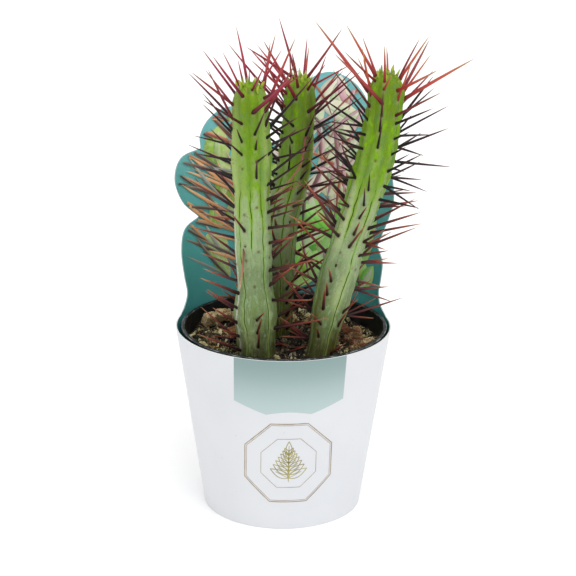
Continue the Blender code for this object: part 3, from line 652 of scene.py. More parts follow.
def card_teal_paint():
    """The printed inner face: teal, with painted shade that makes it deep near the pot, and lighter towards
    the top.
    """
    paint = Paint("card_teal", 0.45)
    place = paint.place()
    height = paint.split_z(place)
    # Painted shade: the teal grows darker low down, near the pot
    grade = paint.ramp(paint.window(height, 0.1, 0.225), (
        (0.0, "#4a9e9e"), (0.3, "#58b2b3"), (0.65, "#68b6b6"), (1.0, "#76c0c2")))
    cloud = paint.noise(place, 38.0, 3.0)
    colour = paint.mix(paint.window(cloud, 0.4, 0.75, 0.0, 0.2), grade, "#4a9c9a")
    fibre = paint.noise(place, 900.0, 4.0, 0.7)
    return paint.finish(colour, None, fibre, 0.00006, 0.2)


def card_edge_paint():
    paint = Paint("card_edge", 0.85)
    place = paint.place()
    fibre = paint.noise(paint.stretch(place, (1.0, 1.0, 3.0)), 1500.0, 3.0)
    high = paint.window(paint.split_z(place), 0.1045, 0.107)
    white = paint.mix(paint.window(fibre, 0.3, 0.7), "#d9dadb", "#f2f2f0")
    colour = paint.mix(paint.times(high, 0.75), white, "#3f7f7e")
    return paint.finish(colour, None, fibre, 0.00008, 0.5)


def banner_paint():
    paint = Paint("banner_ink", 0.45)
    place = paint.place()
    grade = paint.ramp(paint.window(paint.split_z(place), 0.0715, 0.104), (
        (0.0, "#adbfbf"), (0.45, "#9cb0b0"), (1.0, "#809896")))
    fibre = paint.noise(place, 900.0, 4.0, 0.7)
    return paint.finish(grade, None, fibre, 0.00006, 0.2)


def emblem_paint(name, light, dark):
    paint = Paint(name, 0.4)
    shade = paint.noise(paint.place(), 160.0, 3.0)
    return paint.finish(paint.mix(paint.window(shade, 0.35, 0.65), light, dark))


def print_paint(name, stops, veins=0.0):
    """Ink of the printed leaves, shaded along and across each leaf and a little different on each."""
    paint = Paint(name, 0.45)
    run = paint.attribute("run")
    tone = paint.attribute("tone")
    side = paint.attribute("side")
    colour = paint.ramp(run, stops)
    colour = paint.mix(paint.window(side, 0.4, 0.0, 0.0, 0.35), colour, "#3b2a26")
    colour = paint.mix(paint.window(side, 0.5, 0.9, 0.0, 0.3), colour, "#f4e6cc")
    colour = paint.mix(paint.times(paint.window(tone, 0.4, 1.0), 0.3), colour, "#3b2622")
    if veins:
        streak = paint.noise(paint.place(), 420.0, 3.0, 0.6)
        colour = paint.mix(paint.times(paint.window(streak, 0.45, 0.7), veins), colour, "#f1ecd8")
    return paint.finish(colour)


def skin_paint():
    """Stem skin: grey green low down and bright green above, with creases, haloes, scars and cork, and with
    painted shade at the foot and in the creases and painted light and shade in patches.
    """
    paint = Paint("stem_skin_grown", 0.5)
    window = paint.window
    skin = paint.attribute("skin", True)
    rise = paint.attribute("rise")
    crease = paint.attribute("crease")
    bloom_and_painted_light = paint.attribute("bloom_and_painted_light")

    def grain(along, *values, across=1.0):
        """Noise on the skin, with its own scales along the stem and across it."""
        return paint.noise(paint.stretch(skin, (across, across, along)), *values)

    patch = grain(0.6, 0.14, 2.0)
    blot = grain(0.45, 0.24, 3.0)
    hairs = grain(0.05, 2.0, 3.0, 0.7)
    cross = grain(1.5, 0.8, 3.0, 0.6, across=0.3)
    cloud = grain(0.45, 0.55, 3.0, 0.6)
    streak = grain(0.09, 0.9, 4.0, 0.7)
    fine = grain(0.35, 2.4, 4.0, 0.75)
    marks = paint.noise(skin, 0.6, 2.0, 0.4)
    broken = window(grain(1.0, 0.12, 1.0, across=0.3), 0.36, 0.46)
    gritty = window(paint.noise(skin, 2.0, 3.0), 0.35, 0.6, 0.3, 1.0)
    drift = paint.sum("ADD", rise, window(patch, 0.3, 0.7, -0.05, 0.05))
    drift = paint.sum("ADD", drift, paint.times(
        window(crease, 0.3, 0.98, -0.03, 0.12), window(rise, 0.36, 0.52, 0.2, 1.0),
        window(rise, 0.86, 0.74)))
    # The lowest stops, darker at the very foot, are painted shade near the soil
    colour = paint.ramp(drift, (
        (0.0, "#394120"), (0.06, "#4c5a2f"), (0.14, "#667845"), (0.3, "#6d8056"), (0.42, "#8a9d70"),
        (0.56, "#92a874"), (0.62, "#84a144"), (0.78, "#719626"), (0.92, "#6b8812"), (0.97, "#698a0c"),
        (1.0, "#86a016")))
    layers = (
        # Clouds, streaks and mottling
        ("#6f8868", window(cloud, 0.5, 0.66), window(rise, 0.5, 0.2, 0.1, 0.6)),
        ("#a3b792", window(streak, 0.5, 0.75), window(rise, 0.8, 0.45, 0.0, 0.3)),
        ("#45701c", window(streak, 0.48, 0.28), window(rise, 0.3, 0.7, 0.15, 0.45)),
        ("#a9bc96", window(cloud, 0.5, 0.68), window(rise, 0.7, 0.45, 0.0, 0.25)),
        # Bright blots, hair lines, folds, olive blots, specks and dots
        ("#669202", window(blot, 0.45, 0.64), window(rise, 0.5, 0.68), 0.9),
        ("#7eae00", window(blot, 0.57, 0.7), window(rise, 0.52, 0.66), 0.8),
        ("#a0ba4c", window(hairs, 0.58, 0.74), window(rise, 0.45, 0.7, 0.1, 0.35)),
        ("#4c6634", window(cross, 0.42, 0.28), window(rise, 0.6, 0.4, 0.05, 0.3)),
        ("#5e873e", window(blot, 0.47, 0.34), window(rise, 0.55, 0.7, 0.15, 0.6)),
        ("#b4c48e", window(fine, 0.56, 0.7), window(rise, 0.95, 0.5, 0.22, 0.3)),
        ("#3d5a1c", window(fine, 0.43, 0.3), 0.36),
        # Painted shade, and painted light with pale wax, from the skin's patches, haloes under spines,
        # rings round them, and painted shade at the foot
        ("#4c480e", window(bloom_and_painted_light, -0.05, -1.0, 0.0, 0.85)),
        ("#c4d294", window(bloom_and_painted_light, 0.05, 1.0, 0.0, 0.6)),
        ("#b0a886", paint.attribute("halo"), 0.35),
        ("#2c3018", paint.attribute("foot"), window(rise, 0.75, 0.45, 0.25, 0.75)),
        # Painted shade near the soil, mottled by the clouds
        ("#3a3016", window(cloud, 0.42, 0.56), window(rise, 0.13, 0.04, 0.0, 0.7)),
        # Fresh green beside a crease, painted shade as its dark line, and its lit edge as a painted
        # highlight
        ("#74a02c", window(crease, 0.62, 0.93), window(rise, 0.68, 0.6), window(rise, 0.1, 0.42), 0.55),
        ("#35520c", window(crease, 0.9, 0.965), window(rise, 0.64, 0.6), broken, 0.95),
        ("#a2b560", window(crease, 0.66, 0.86), window(crease, 0.97, 0.9), window(rise, 0.32, 0.16), 0.25),
        # Brown marks, cork and scars
        ("#75603a", window(marks, 0.645, 0.7), 0.42),
        ("#d8d8c4", paint.attribute("cork"), gritty, 0.9),
        ("#4a2a1c", paint.attribute("scar"), 0.7),
    )
    for tint, *shares in layers:
        colour = paint.mix(paint.times(*shares), colour, tint)
    height = paint.sum("ADD", paint.times(fine, 0.4), paint.times(streak, 0.35))
    height = paint.sum("ADD", height, paint.times(cross, 0.6))
    paint.shader.inputs["Specular IOR Level"].default_value = 0.18
    return paint.finish(colour, window(fine, 0.3, 0.7, 0.45, 0.62), height, 0.0005, 0.7)


def spine_paint():
    """Spines: crimson or orange when young, then nearly black, and maroon with tan tips when old."""
    paint = Paint("spine_horn", 0.4)
    run = paint.attribute("run")
    tone = paint.attribute("tone")
    crown = paint.attribute("crown")
    old = paint.attribute("old")
    warm = paint.attribute("warm")
    grain = paint.noise(paint.place(), 900.0, 3.0)
    crimson = paint.ramp(run, (
        (0.0, "#2c0c10"), (0.1, "#641424"), (0.3, "#8e2240"), (0.7, "#a83048"), (1.0, "#9a5a50")))
    orange = paint.ramp(run, (
        (0.0, "#4a120e"), (0.12, "#982c24"), (0.4, "#b84c34"), (0.7, "#ba6842"), (1.0, "#a49a48")))
    paint.shader.inputs["Specular IOR Level"].default_value = 0.28
    young = paint.mix(warm, crimson, orange)
    dark = paint.ramp(run, (
        (0.0, "#0c0505"), (0.25, "#180a0c"), (0.6, "#33161a"), (0.85, "#5a2e2c"), (1.0, "#6e5048")))
    aged = paint.ramp(run, (
        (0.0, "#120808"), (0.14, "#2a1010"), (0.4, "#5a2222"), (0.75, "#904630"), (1.0, "#bc8c64")))
    colour = paint.mix(old, dark, aged)
    colour = paint.mix(crown, colour, young)
    colour = paint.mix(paint.window(tone, 0.3, 1.0, 0.0, 0.4), colour, "#1d0e10")
    return paint.finish(colour, paint.window(grain, 0.3, 0.7, 0.32, 0.5), grain, 0.0001, 0.4)


def stalk_paint():
    """Withered stalks: dark at the foot, then red brown, and pale and streaked towards the tip."""
    paint = Paint("stalk_dry", 0.75)
    streak = paint.noise(paint.place(), 900.0, 4.0, 0.7)
    colour = paint.ramp(paint.attribute("run"), (
        (0.0, "#30201c"), (0.12, "#743a34"), (0.45, "#945a46"), (0.75, "#a67a62"), (1.0, "#c8a888")))
    colour = paint.mix(paint.window(streak, 0.45, 0.7, 0.0, 0.45), colour, "#6c4636")
    return paint.finish(colour, None, streak, 0.0001, 0.6)


def leaf_paint():
    paint = Paint("crown_leaf", 0.45)
    run = paint.attribute("run")
    fresh = paint.ramp(run, ((0.0, "#76a01a"), (0.5, "#94b21a"), (0.85, "#b0b436"), (1.0, "#8a6a2c")))
    dull = paint.ramp(run, ((0.0, "#5c8a1e"), (0.6, "#6f9020"), (1.0, "#5a4620")))
    colour = paint.mix(paint.window(paint.attribute("tone"), 0.35, 0.8), fresh, dull)
    grain = paint.noise(paint.place(), 700.0, 3.0)
    return paint.finish(paint.mix(paint.times(grain, 0.25), colour, "#d2d26a"), None, grain, 0.0001, 0.4)


def peat_paint():
    paint = Paint("peat", 0.95)
    place = paint.place()
    clump = paint.noise(place, 170.0, 4.0, 0.65)
    grain = paint.noise(place, 900.0, 4.0, 0.7)
    colour = paint.ramp(paint.sum("MULTIPLY", clump, paint.window(grain, 0.2, 0.8, 0.7, 1.25)), (
        (0.3, "#0a0907"), (0.5, "#221f18"), (0.6, "#4c4634"), (0.75, "#8c8260")))
    # Painted shade between the stems and in hollows darkens the peat
    return paint.finish(paint.with_painted_shade(colour), None, grain, 0.0005, 0.8)


def litter_paint(name, stops):
    """Loose bits on the soil, each with its own tone, and with painted shade between the stems and in
    hollows.
    """
    paint = Paint(name, 0.88)
    grain = paint.noise(paint.place(), 900.0, 4.0, 0.7)
    tone = paint.sum("ADD", paint.attribute("tone"), paint.window(grain, 0.3, 0.7, -0.2, 0.2))
    return paint.finish(paint.with_painted_shade(paint.ramp(tone, stops)), None, grain, 0.0004, 0.8)


def bark_paint():
    """Bark: thin layers and pits, each chip with its own tone; seams and pits are darker where they sink in
    the bump, partly the bark's own darker layers and partly painted shade in the hollows.
    """
    paint = Paint("bark", 0.9)
    chip = paint.attribute("chip", True)
    layer = paint.noise(paint.stretch(chip, (0.25, 0.6, 2.4)), 0.9, 4.0, 0.7)
    pits = paint.noise(chip, 1.3, 5.0, 0.75)
    # Seams and pits darken where the bump sinks: painted shade in the hollows over the bark's own layers
    tone = paint.sum("ADD", paint.attribute("tone"), paint.window(layer, 0.36, 0.64, -0.3, 0.22))
    tone = paint.sum("ADD", tone, paint.window(pits, 0.34, 0.62, -0.34, 0.16))
    colour = paint.ramp(tone, (
        (0.0, "#0f0a07"), (0.3, "#33281e"), (0.55, "#6e573c"), (0.78, "#b29362"), (1.0, "#e4cc9e")))
    colour = paint.mix(paint.window(paint.attribute("rust"), 0.5, 0.9, 0.0, 0.55), colour, "#a4603a")
    height = paint.sum("ADD", layer, pits)
    return paint.finish(colour, None, height, 0.0012, 0.9)


def floor_paint():
    paint = Paint("floor_white", 0.7)
    grain = paint.noise(paint.place(), 60.0, 2.0)
    return paint.finish(paint.mix(grain, "#fbfbfb", "#fdfdfd"))


# Meshes

def add_object(name, data):
    """A named object, linked into the scene."""
    made = bpy.data.objects.new(name, data)
    bpy.context.scene.collection.objects.link(made)
    return made


def make_piece(name, verts, faces, paints, face_paints=None, facts=None, replaces=None,
               smooth=True):
    """A named piece that rides on the object, with point values for its paints."""
    mesh = bpy.data.meshes.new(name)
    mesh.from_pydata((np.asarray(verts, dtype=float) * MM).tolist(), [], faces)
    for paint in paints:
        mesh.materials.append(paint)
    if face_paints is not None:
        mesh.polygons.foreach_set("material_index", np.asarray(face_paints, dtype=np.int32))
    for key, values in (facts or {}).items():
        values = np.asarray(values, dtype=np.float32)
        kind = "FLOAT_VECTOR" if values.ndim == 2 else "FLOAT"
        layer = mesh.attributes.new(key, kind, "POINT")
        layer.data.foreach_set("vector" if kind == "FLOAT_VECTOR" else "value", values.ravel())
    if smooth:
        mesh.shade_smooth()
    mesh.update()
    piece = add_object(name, mesh)
    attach(piece, "root")
    if replaces:
        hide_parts(replaces)
    return piece


class Heap:
    """Many small shapes gathered into one mesh, with the same point values for all."""

    def __init__(self, *keys):
        self.verts = []
        self.faces = []
        self.paints = []
        self.facts = {key: [] for key in keys}

    def add(self, verts, faces, paint, **facts):
        first = len(self.verts)
        self.verts.extend(verts)
        self.faces.extend(tuple(first + i for i in face) for face in faces)
        self.paints.extend([paint] * len(faces))
        for key, values in self.facts.items():
            given = facts.get(key, 0.0)
            values.extend(given if hasattr(given, "__len__") else [given] * len(verts))

    def make(self, name, paints, slot, replaces=None, smooth=True, **facts):
        """The gathered shapes as one piece."""
        facts = {**facts, **self.facts}
        return make_piece(name, self.verts, self.faces, paints, self.paints, facts, replaces, smooth)


def spline_point(points, place):
    """Catmull-Rom point at a place counted in spans along the control points."""
    last = len(points) - 1
    span = min(int(place), last - 1)
    part = place - span
    p1 = Vector(points[span])
    p2 = Vector(points[span + 1])
    p0 = Vector(points[span - 1]) if span > 0 else p1 * 2.0 - p2
    p3 = Vector(points[span + 2]) if span + 2 <= last else p2 * 2.0 - p1
    cubic = (p1 - p2) * 3.0 + p3 - p0
    square = p0 * 2.0 - p1 * 5.0 + p2 * 4.0 - p3
    return p1 + ((p2 - p0) * part + square * part ** 2 + cubic * part ** 3) * 0.5


def blend_pairs(pairs, x):
    """Smooth value at x from (x, value) pairs."""
    if x <= pairs[0][0]:
        return pairs[0][1]
    for (x0, y0), (x1, y1) in zip(pairs, pairs[1:]):
        if x <= x1:
            part = (x - x0) / (x1 - x0)
            part = part * part * (3.0 - 2.0 * part)
            return y0 + (y1 - y0) * part
    return pairs[-1][1]


def clamp(value, low=0.0, high=1.0):
    return min(max(value, low), high)


def half_turn(degrees):
    """An angle brought between -180 and 180 degrees."""
    return (degrees + 180.0) % 360.0 - 180.0


def spline_points(points, steps):
    """A smooth row of points through control points, with a number of steps from each to the next."""
    spans = len(points) - 1
    count = spans * steps
    return [spline_point(points, spans * i / count) for i in range(count + 1)]


def circle(radius, z, steps):
    """Points of a level circle round the pot's axis."""
    angles = [math.tau * i / steps for i in range(steps)]
    return [(radius * math.cos(angle), radius * math.sin(angle), z) for angle in angles]


def turned_faces(rings, steps, last=None):
    """Faces of a turned shape, from point 0 over its rings to a last point if it has one."""
    faces = []
    for i in range(steps):
        j = (i + 1) % steps
        faces.append((0, rings[0] + i, rings[0] + j))
        faces += [(low + i, high + i, high + j, low + j) for low, high in zip(rings, rings[1:])]
        if last:
            faces.append((rings[-1] + j, rings[-1] + i, last))
    return faces


def lathe(profile, steps):
    """Vertices and faces of a turned profile whose ends lie on the axis."""
    verts = [(0.0, 0.0, profile[0][1])]
    rings = []
    for radius, z in profile[1:-1]:
        rings.append(len(verts))
        verts += circle(radius, z, steps)
    verts.append((0.0, 0.0, profile[-1][1]))
    return verts, turned_faces(rings, steps, len(verts) - 1)


# Stem form

class Stem:
    """The form of one stem: its axis, ribs and areoles, in millimetres."""

    AXIS_SAMPLES = 160
    AXIS_WINDOW = 4

    def __init__(self, spec):
        self.spec = spec
        spans = len(spec["axis"]) - 1
        samples = self.AXIS_SAMPLES
        self.points = [spline_point(spec["axis"], spans * i / samples) for i in range(samples + 1)]
        self.lengths = [0.0]
        for a, b in zip(self.points, self.points[1:]):
            self.lengths.append(self.lengths[-1] + (b - a).length)
        self.height = self.lengths[-1]

    def frame(self, s):
        """Axis point, direction along the stem, and the front and side directions at height s."""
        if s <= 0.0:
            along = (self.points[1] - self.points[0]).normalized()
            point = self.points[0] + along * s
        else:
            i = 0
            while i < len(self.lengths) - 2 and self.lengths[i + 1] < s:
                i += 1
            step = self.lengths[i + 1] - self.lengths[i]
            part = min((s - self.lengths[i]) / step, 1.0)
            point = self.points[i].lerp(self.points[i + 1], part)
            before = self.points[max(i - self.AXIS_WINDOW, 0)]
            after = self.points[min(i + 1 + self.AXIS_WINDOW, len(self.points) - 1)]
            along = (after - before).normalized()
        front = Vector((0.0, -1.0, 0.0))
        front = (front - along * front.dot(along)).normalized()
        side = front.cross(along)
        if side.x < 0.0:
            side = -side
        return point, along, front, side

    def crest_radius(self, s):
        """Radius over the ribs, closing in a dome at the apex."""
        radius = blend_pairs(self.spec["radius"], s)
        into_dome = s - (self.height - DOME)
        if into_dome > 0.0:
            radius *= math.sqrt(max(1.0 - min(into_dome / DOME, 1.0) ** DOME_POWER, 0.0))
        return radius

    def crease(self, k, s):
        """Azimuth of crease k at height s, in degrees."""
        low, middle, high = self.spec["creases"]
        turn = 360.0 * (k // len(low))
        k %= len(low)
        half = self.height * 0.5
        return turn + blend_pairs(((0.0, low[k]), (half, middle[k]), (self.height, high[k])), s)

    def crease_depth(self, k, s):
        k %= len(self.spec["creases"][0])
        depth = CREASE_LOW + (CREASE_HIGH - CREASE_LOW) * clamp(s / self.height)
        birth = self.spec["births"].get(k)
        if birth is not None:
            depth *= clamp((s - birth) / CREASE_START, CREASE_TRACE)
        closing = self.crest_radius(s) / blend_pairs(self.spec["radius"], s)
        return depth * closing

    def rib_count(self):
        return len(self.spec["creases"][0])

    def rib_azimuth(self, k, s):
        """Azimuth of rib k's crest, which lies between the creases k and k + 1."""
        left, right = k, k + 1
        births = self.spec["births"]
        count = self.rib_count()
        if births.get(left % count, 0.0) > s:
            left -= 1
        if births.get(right % count, 0.0) > s:
            right += 1
        return 0.5 * (self.crease(left, s) + self.crease(right, s))

    def rib_exists(self, k, s):
        return self.spec["births"].get(k % self.rib_count(), 0.0) <= s

    def outward(self, s, azimuth):
        """Axis point at height s, direction along the stem, and direction out of it at an azimuth."""
        centre, along, front, side = self.frame(s)
        angle = math.radians(azimuth)
        return centre, along, front * math.cos(angle) + side * math.sin(angle)

    def point(self, s, azimuth, radius):
        centre, _, out = self.outward(s, azimuth)
        return centre + out * radius

    def spine(self, s, azimuth, lift, swing, length):
        """Start on the crest and tip of a spine, from its lift and sideways swing in degrees."""
        start = self.point(s, azimuth, self.crest_radius(s) + AREOLE_STAND)
        _, along, out = self.outward(s, azimuth + swing)
        rise = math.radians(lift)
        direction = out * math.cos(rise) + along * math.sin(rise)
        return start, start + direction * length


def segment_gap(a, b, c, d):
    """Shortest distance between the segments a-b and c-d."""
    u = b - a
    v = d - c
    w = a - c
    uu, uv, vv = u.dot(u), u.dot(v), v.dot(v)
    uw, vw = u.dot(w), v.dot(w)
    bottom = uu * vv - uv * uv
    s = clamp((uv * vw - vv * uw) / bottom) if bottom > PARALLEL else 0.0
    t = clamp((uv * s + vw) / vv)
    s = clamp((uv * t - uw) / uu)
    return ((a + u * s) - (c + v * t)).length


def sleeve_radius(z):
    return SLEEVE_FOOT_RADIUS + SLEEVE_TAPER * z


def relief(x, y, *layers):
    """Height that layers of noise add over a place on the soil."""
    total = 0.0
    for width, height, seed in layers:
        total += noise.noise(Vector((x / width, y / width, seed))) * height
    return total


def from_stems(x, y):
    """Distance from a place on the soil to the nearest stem's axis."""
    return min(math.hypot(x - foot[0], y - foot[1]) for foot in STEM_FEET)


def soil_height(x, y):
    """Height of the soil's lumpy top, which rises a little round each stem."""
    spread, rise = SOIL_MOUND
    nearest = min((x - foot[0]) ** 2 + (y - foot[1]) ** 2 for foot in STEM_FEET)
    return SOIL_LEVEL + relief(x, y, SOIL_COARSE, SOIL_FINE) + rise * math.exp(-nearest / spread ** 2)


class SpineField:
    """Every spine on the plant, kept clear of other stems, the soil, the pot and the card."""

    GAP = 0.5
    BODY_STEP = 10.0
    MOUTH_MARGIN = 6.0
    RIM_MARGIN = 3.0
    SOIL_MARGIN = 5.0
    CARD_MARGIN = 3.0
    CARD_HALF_WIDTH = 66.0
    TRIES = 12
    FULL_TRIES = 3
    SHORTER = 0.9
    SAMPLES = (0.25, 0.5, 0.75, 1.0)

    def __init__(self, stems):
        self.stems = stems
        self.placed = {name: [] for name in stems}
        self.areoles = {name: [] for name in stems}
        self.bodies = {name: self.body_segments(stem) for name, stem in stems.items()}

    def body_segments(self, stem):
        steps = int(stem.height / self.BODY_STEP)
        ends = [stem.height * i / steps for i in range(steps + 1)]
        segments = []
        for low, high in zip(ends, ends[1:]):
            radius = max(stem.crest_radius(low), stem.crest_radius(high)) + TUBERCLE
            segments.append((stem.frame(low)[0], stem.frame(high)[0], radius))
        return segments

    def is_clear(self, name, start, tip):
        for other, segments in self.bodies.items():
            if other == name:
                continue
            for low, high, radius in segments:
                if segment_gap(start, tip, low, high) < radius + SPINE_RADIUS + self.GAP:
                    return False
        need = 2.0 * SPINE_RADIUS + self.GAP
        for other, spines in self.placed.items():
            if other != name and any(segment_gap(start, tip, a, b) < need for a, b, _ in spines):
                return False
        return all(self.in_open_air(start.lerp(tip, part)) for part in self.SAMPLES)

    def in_open_air(self, point):
        reach = math.hypot(point.x, point.y)
        if point.z < RIM_HEIGHT + self.RIM_MARGIN and reach > RIM_RADIUS - self.MOUTH_MARGIN:
            return False
        if reach < RIM_RADIUS and point.z < soil_height(point.x, point.y) + self.SOIL_MARGIN:
            return False
        from_card = math.hypot(point.x - SLEEVE_CENTRE[0], point.y - SLEEVE_CENTRE[1])
        behind = point.y > 0.0 and abs(point.x) < self.CARD_HALF_WIDTH and point.z < PANEL_REACH
        return not (behind and from_card > sleeve_radius(point.z) - self.CARD_MARGIN)

    def grow(self):
        """The crowns' longest spines on every stem first, then those of each areole that is left."""
        for name, stem in self.stems.items():
            for row in stem.spec["crown"]:
                start, tip = stem.spine(*row)
                if self.is_clear(name, start, tip):
                    self.placed[name].append((start, tip, row[0]))
                    self.areoles[name].append((row[0], row[1], True))
        for name, stem in self.stems.items():
            draw = random.Random(stem.spec["seed"])
            taken = [start for start, _, _ in self.placed[name]]
            for k in range(stem.rib_count()):
                s = AREOLE_STAGGER[k % 2]
                while s < stem.height - APEX_GAP:
                    place = s + draw.uniform(-AREOLE_JITTER, AREOLE_JITTER)
                    self.grow_areole(name, stem, k, place, draw, taken)
                    s += CROWN_PITCH if s > stem.height - CROWN else AREOLE_PITCH

    def is_bare(self, stem, s, azimuth, roll):
        """True where an areole has lost its spines, which is commoner low on the stem."""
        if roll > LOW_SHARE + (1.0 - LOW_SHARE) * s / stem.height:
            return True
        bare = stem.spec["bare"]
        return bool(bare) and bare[0] < s < bare[1] and abs(azimuth) < bare[2] and roll > BARE_SHARE

    def grow_areole(self, name, stem, k, s, draw, taken):
        """Long spines on the flanks, some in pairs, short ones in front and steep ones in the crown."""
        roll = draw.random()
        azimuth = half_turn(stem.rib_azimuth(k, s))
        if not stem.rib_exists(k, s):
            return
        if self.is_bare(stem, s, azimuth, roll):
            self.areoles[name].append((s, azimuth, False))
            return
        start = stem.point(s, azimuth, stem.crest_radius(s))
        if any((start - other).length < AREOLE_SPACING for other in taken):
            return
        before = len(self.placed[name])
        if s > stem.height - CROWN:
            self.grow_spine(name, (s, azimuth), CROWN_LIFT, CROWN_LENGTH, draw)
        elif abs(azimuth) < FRONT_HALF:
            self.grow_spine(name, (s, azimuth), FRONT_LIFT, FRONT_LENGTH, draw)
        else:
            self.grow_spine(name, (s, azimuth), FLANK_LIFT, FLANK_LENGTH, draw)
            if draw.random() < stem.spec["pairs"]:
                lower = [lift - PAIR_DROP for lift in FLANK_LIFT]
                shorter = [length * PAIR_SHORTER for length in FLANK_LENGTH]
                self.grow_spine(name, (s, azimuth), lower, shorter, draw)
        self.areoles[name].append((s, azimuth, len(self.placed[name]) > before))

    def grow_spine(self, name, place, lifts, lengths, draw):
        """One spine drawn from the ranges, and shortened where it would touch something."""
        for attempt in range(self.TRIES):
            lift = draw.uniform(*lifts)
            swing = draw.uniform(-SWING, SWING)
            length = draw.uniform(*lengths) * self.SHORTER ** max(attempt - self.FULL_TRIES, 0)
            start, tip = self.stems[name].spine(*place, lift, swing, length)
            if self.is_clear(name, start, tip):
                self.placed[name].append((start, tip, place[0]))
                return


# Pieces

def pot_profile():
    """Profile (radius, height) of the pot's wall, from the middle of its inner base to that of its foot."""
    lip_bottom = RIM_HEIGHT - LIP_DEPTH
    inside_foot = POT_FOOT_RADIUS - POT_WALL
    inner_lip = RIM_RADIUS - LIP_WIDTH
    bends = [(1.0 - math.cos(angle), 1.0 - math.sin(angle))
             for angle in (math.pi * 0.5 * i / LIP_STEPS for i in range(LIP_STEPS + 1))]
    return [
        (0.0, POT_BASE), (inside_foot - BASE_BEND[0], POT_BASE), (inside_foot, POT_BASE + BASE_BEND[1]),
        (SHOULDER_RADIUS - POT_WALL, BAND_BOTTOM), (BAND_BOTTOM_RADIUS - POT_WALL, BAND_BOTTOM + POT_WALL),
        *((inner_lip + LIP_ROUND * a, RIM_HEIGHT - LIP_ROUND * b) for a, b in bends),
        *((RIM_RADIUS - LIP_ROUND * b, RIM_HEIGHT - LIP_ROUND * a) for a, b in bends),
        (RIM_RADIUS, lip_bottom), (BAND_TOP_RADIUS, lip_bottom - LIP_ROUND),
        (BAND_BOTTOM_RADIUS, BAND_BOTTOM), (SHOULDER_RADIUS, BAND_BOTTOM - LIP_ROUND),
        (POT_FOOT_RADIUS, FOOT_ROUND),
        (POT_FOOT_RADIUS - FOOT_ROUND, 0.0), (0.0, 0.0)]


def make_pot():
    """Turned pot with a rounded lip, a stepped band under it and drain holes."""
    verts, faces = lathe(pot_profile(), POT_STEPS)
    pot = make_piece("pot_turned", verts, faces, [pot_paint()], replaces="pot")
    bm = bmesh.new()
    radius = DRAIN_RADIUS * MM
    for i in range(DRAIN_HOLES):
        angle = math.tau * (i + 0.5) / DRAIN_HOLES
        place = Vector((math.cos(angle), math.sin(angle), 0.0)) * DRAIN_CIRCLE * MM
        bmesh.ops.create_cone(bm, cap_ends=True, segments=DRAIN_SIDES, radius1=radius, radius2=radius,
                              depth=DRAIN_CUT * MM, matrix=Matrix.Translation(place))
    mesh = bpy.data.meshes.new("drains")
    bm.to_mesh(mesh)
    bm.free()
    drains = add_object("drains", mesh)
    cut = pot.modifiers.new("Drains", "BOOLEAN")
    cut.operation = "DIFFERENCE"
    cut.object = drains
    depsgraph = bpy.context.evaluated_depsgraph_get()
    turned = bpy.data.meshes.new_from_object(pot.evaluated_get(depsgraph))
    pot.modifiers.clear()
    pot.data = turned
    bpy.data.objects.remove(drains, do_unlink=True)
    turned.shade_smooth()
    turned.set_sharp_from_angle(angle=SHARP_ANGLE)


def card_point(azimuth, z, lift, inside=False):
    """Place on the card at an azimuth in radians, lifted off its outer or inner face."""
    radius = sleeve_radius(z) - CARD - lift if inside else sleeve_radius(z) + lift
    x = SLEEVE_CENTRE[0] + radius * math.sin(azimuth)
    return x, SLEEVE_CENTRE[1] - radius * math.cos(azimuth), z


def back_azimuth(x, z):
    """Azimuth, seen from above, of the card's back at a sideways place and a height."""
    return math.pi - math.asin(clamp((x - SLEEVE_CENTRE[0]) / sleeve_radius(z), -1.0))


def panel_rim():
    """The panel's outline from right to left as (azimuth, height), from where it leaves the rim."""
    points = []
    for lobe in PANEL_LOBES:
        points += spline_points([(x, z, 0.0) for x, z in lobe], PANEL_CURVE_STEPS)[:-1]
    points.append(Vector((*PANEL_LOBES[-1][-1], 0.0)))
    rim = [(back_azimuth(point.x, point.y), point.y) for point in points if point.y > SLEEVE_TOP]
    return rim[::-1]


def card_sheet():
    """Vertices (azimuth, height) and faces of the whole unrolled card."""
    turn = [math.tau * i / SLEEVE_COLUMNS for i in range(SLEEVE_COLUMNS + 1)]
    flat = []
    faces = []
    for row in range(SLEEVE_ROWS + 1):
        z = SLEEVE_BAND_TOP * row / SLEEVE_ROWS
        flat += [(azimuth, z) for azimuth in turn]
    wide = SLEEVE_COLUMNS + 1
    for row in range(SLEEVE_ROWS):
        for a in range(row * wide, row * wide + SLEEVE_COLUMNS):
            faces.append((a, a + 1, a + wide + 1, a + wide))
    rim = panel_rim()
    top = [(azimuth, SLEEVE_TOP) for azimuth in reversed(turn)]
    border = [(azimuth, SLEEVE_BAND_TOP) for azimuth in turn]
    border += [point for point in top if point[0] > rim[-1][0] + RIM_GAP]
    border += rim[::-1]
    border += [point for point in top if point[0] < rim[0][0] - RIM_GAP]
    points = [Vector((azimuth * UNROLLED_RADIUS, z)) for azimuth, z in border]
    outline = list(range(len(points)))
    for i in range(1, int(math.tau * UNROLLED_RADIUS / CARD_GRID)):
        z = SLEEVE_BAND_TOP + CARD_GRID * 0.5
        while z < PANEL_REACH:
            points.append(Vector((i * CARD_GRID, z)))
            z += CARD_GRID
    made, _, triangles, *_ = delaunay_2d_cdt(points, [], [outline], 1, CARD_EPSILON)
    used = sorted({i for face in triangles for i in face})
    rename = {old: len(flat) + new for new, old in enumerate(used)}
    flat += [(made[i].x / UNROLLED_RADIUS, made[i].y) for i in used]
    faces += [tuple(rename[i] for i in face) for face in triangles]
    return flat, faces


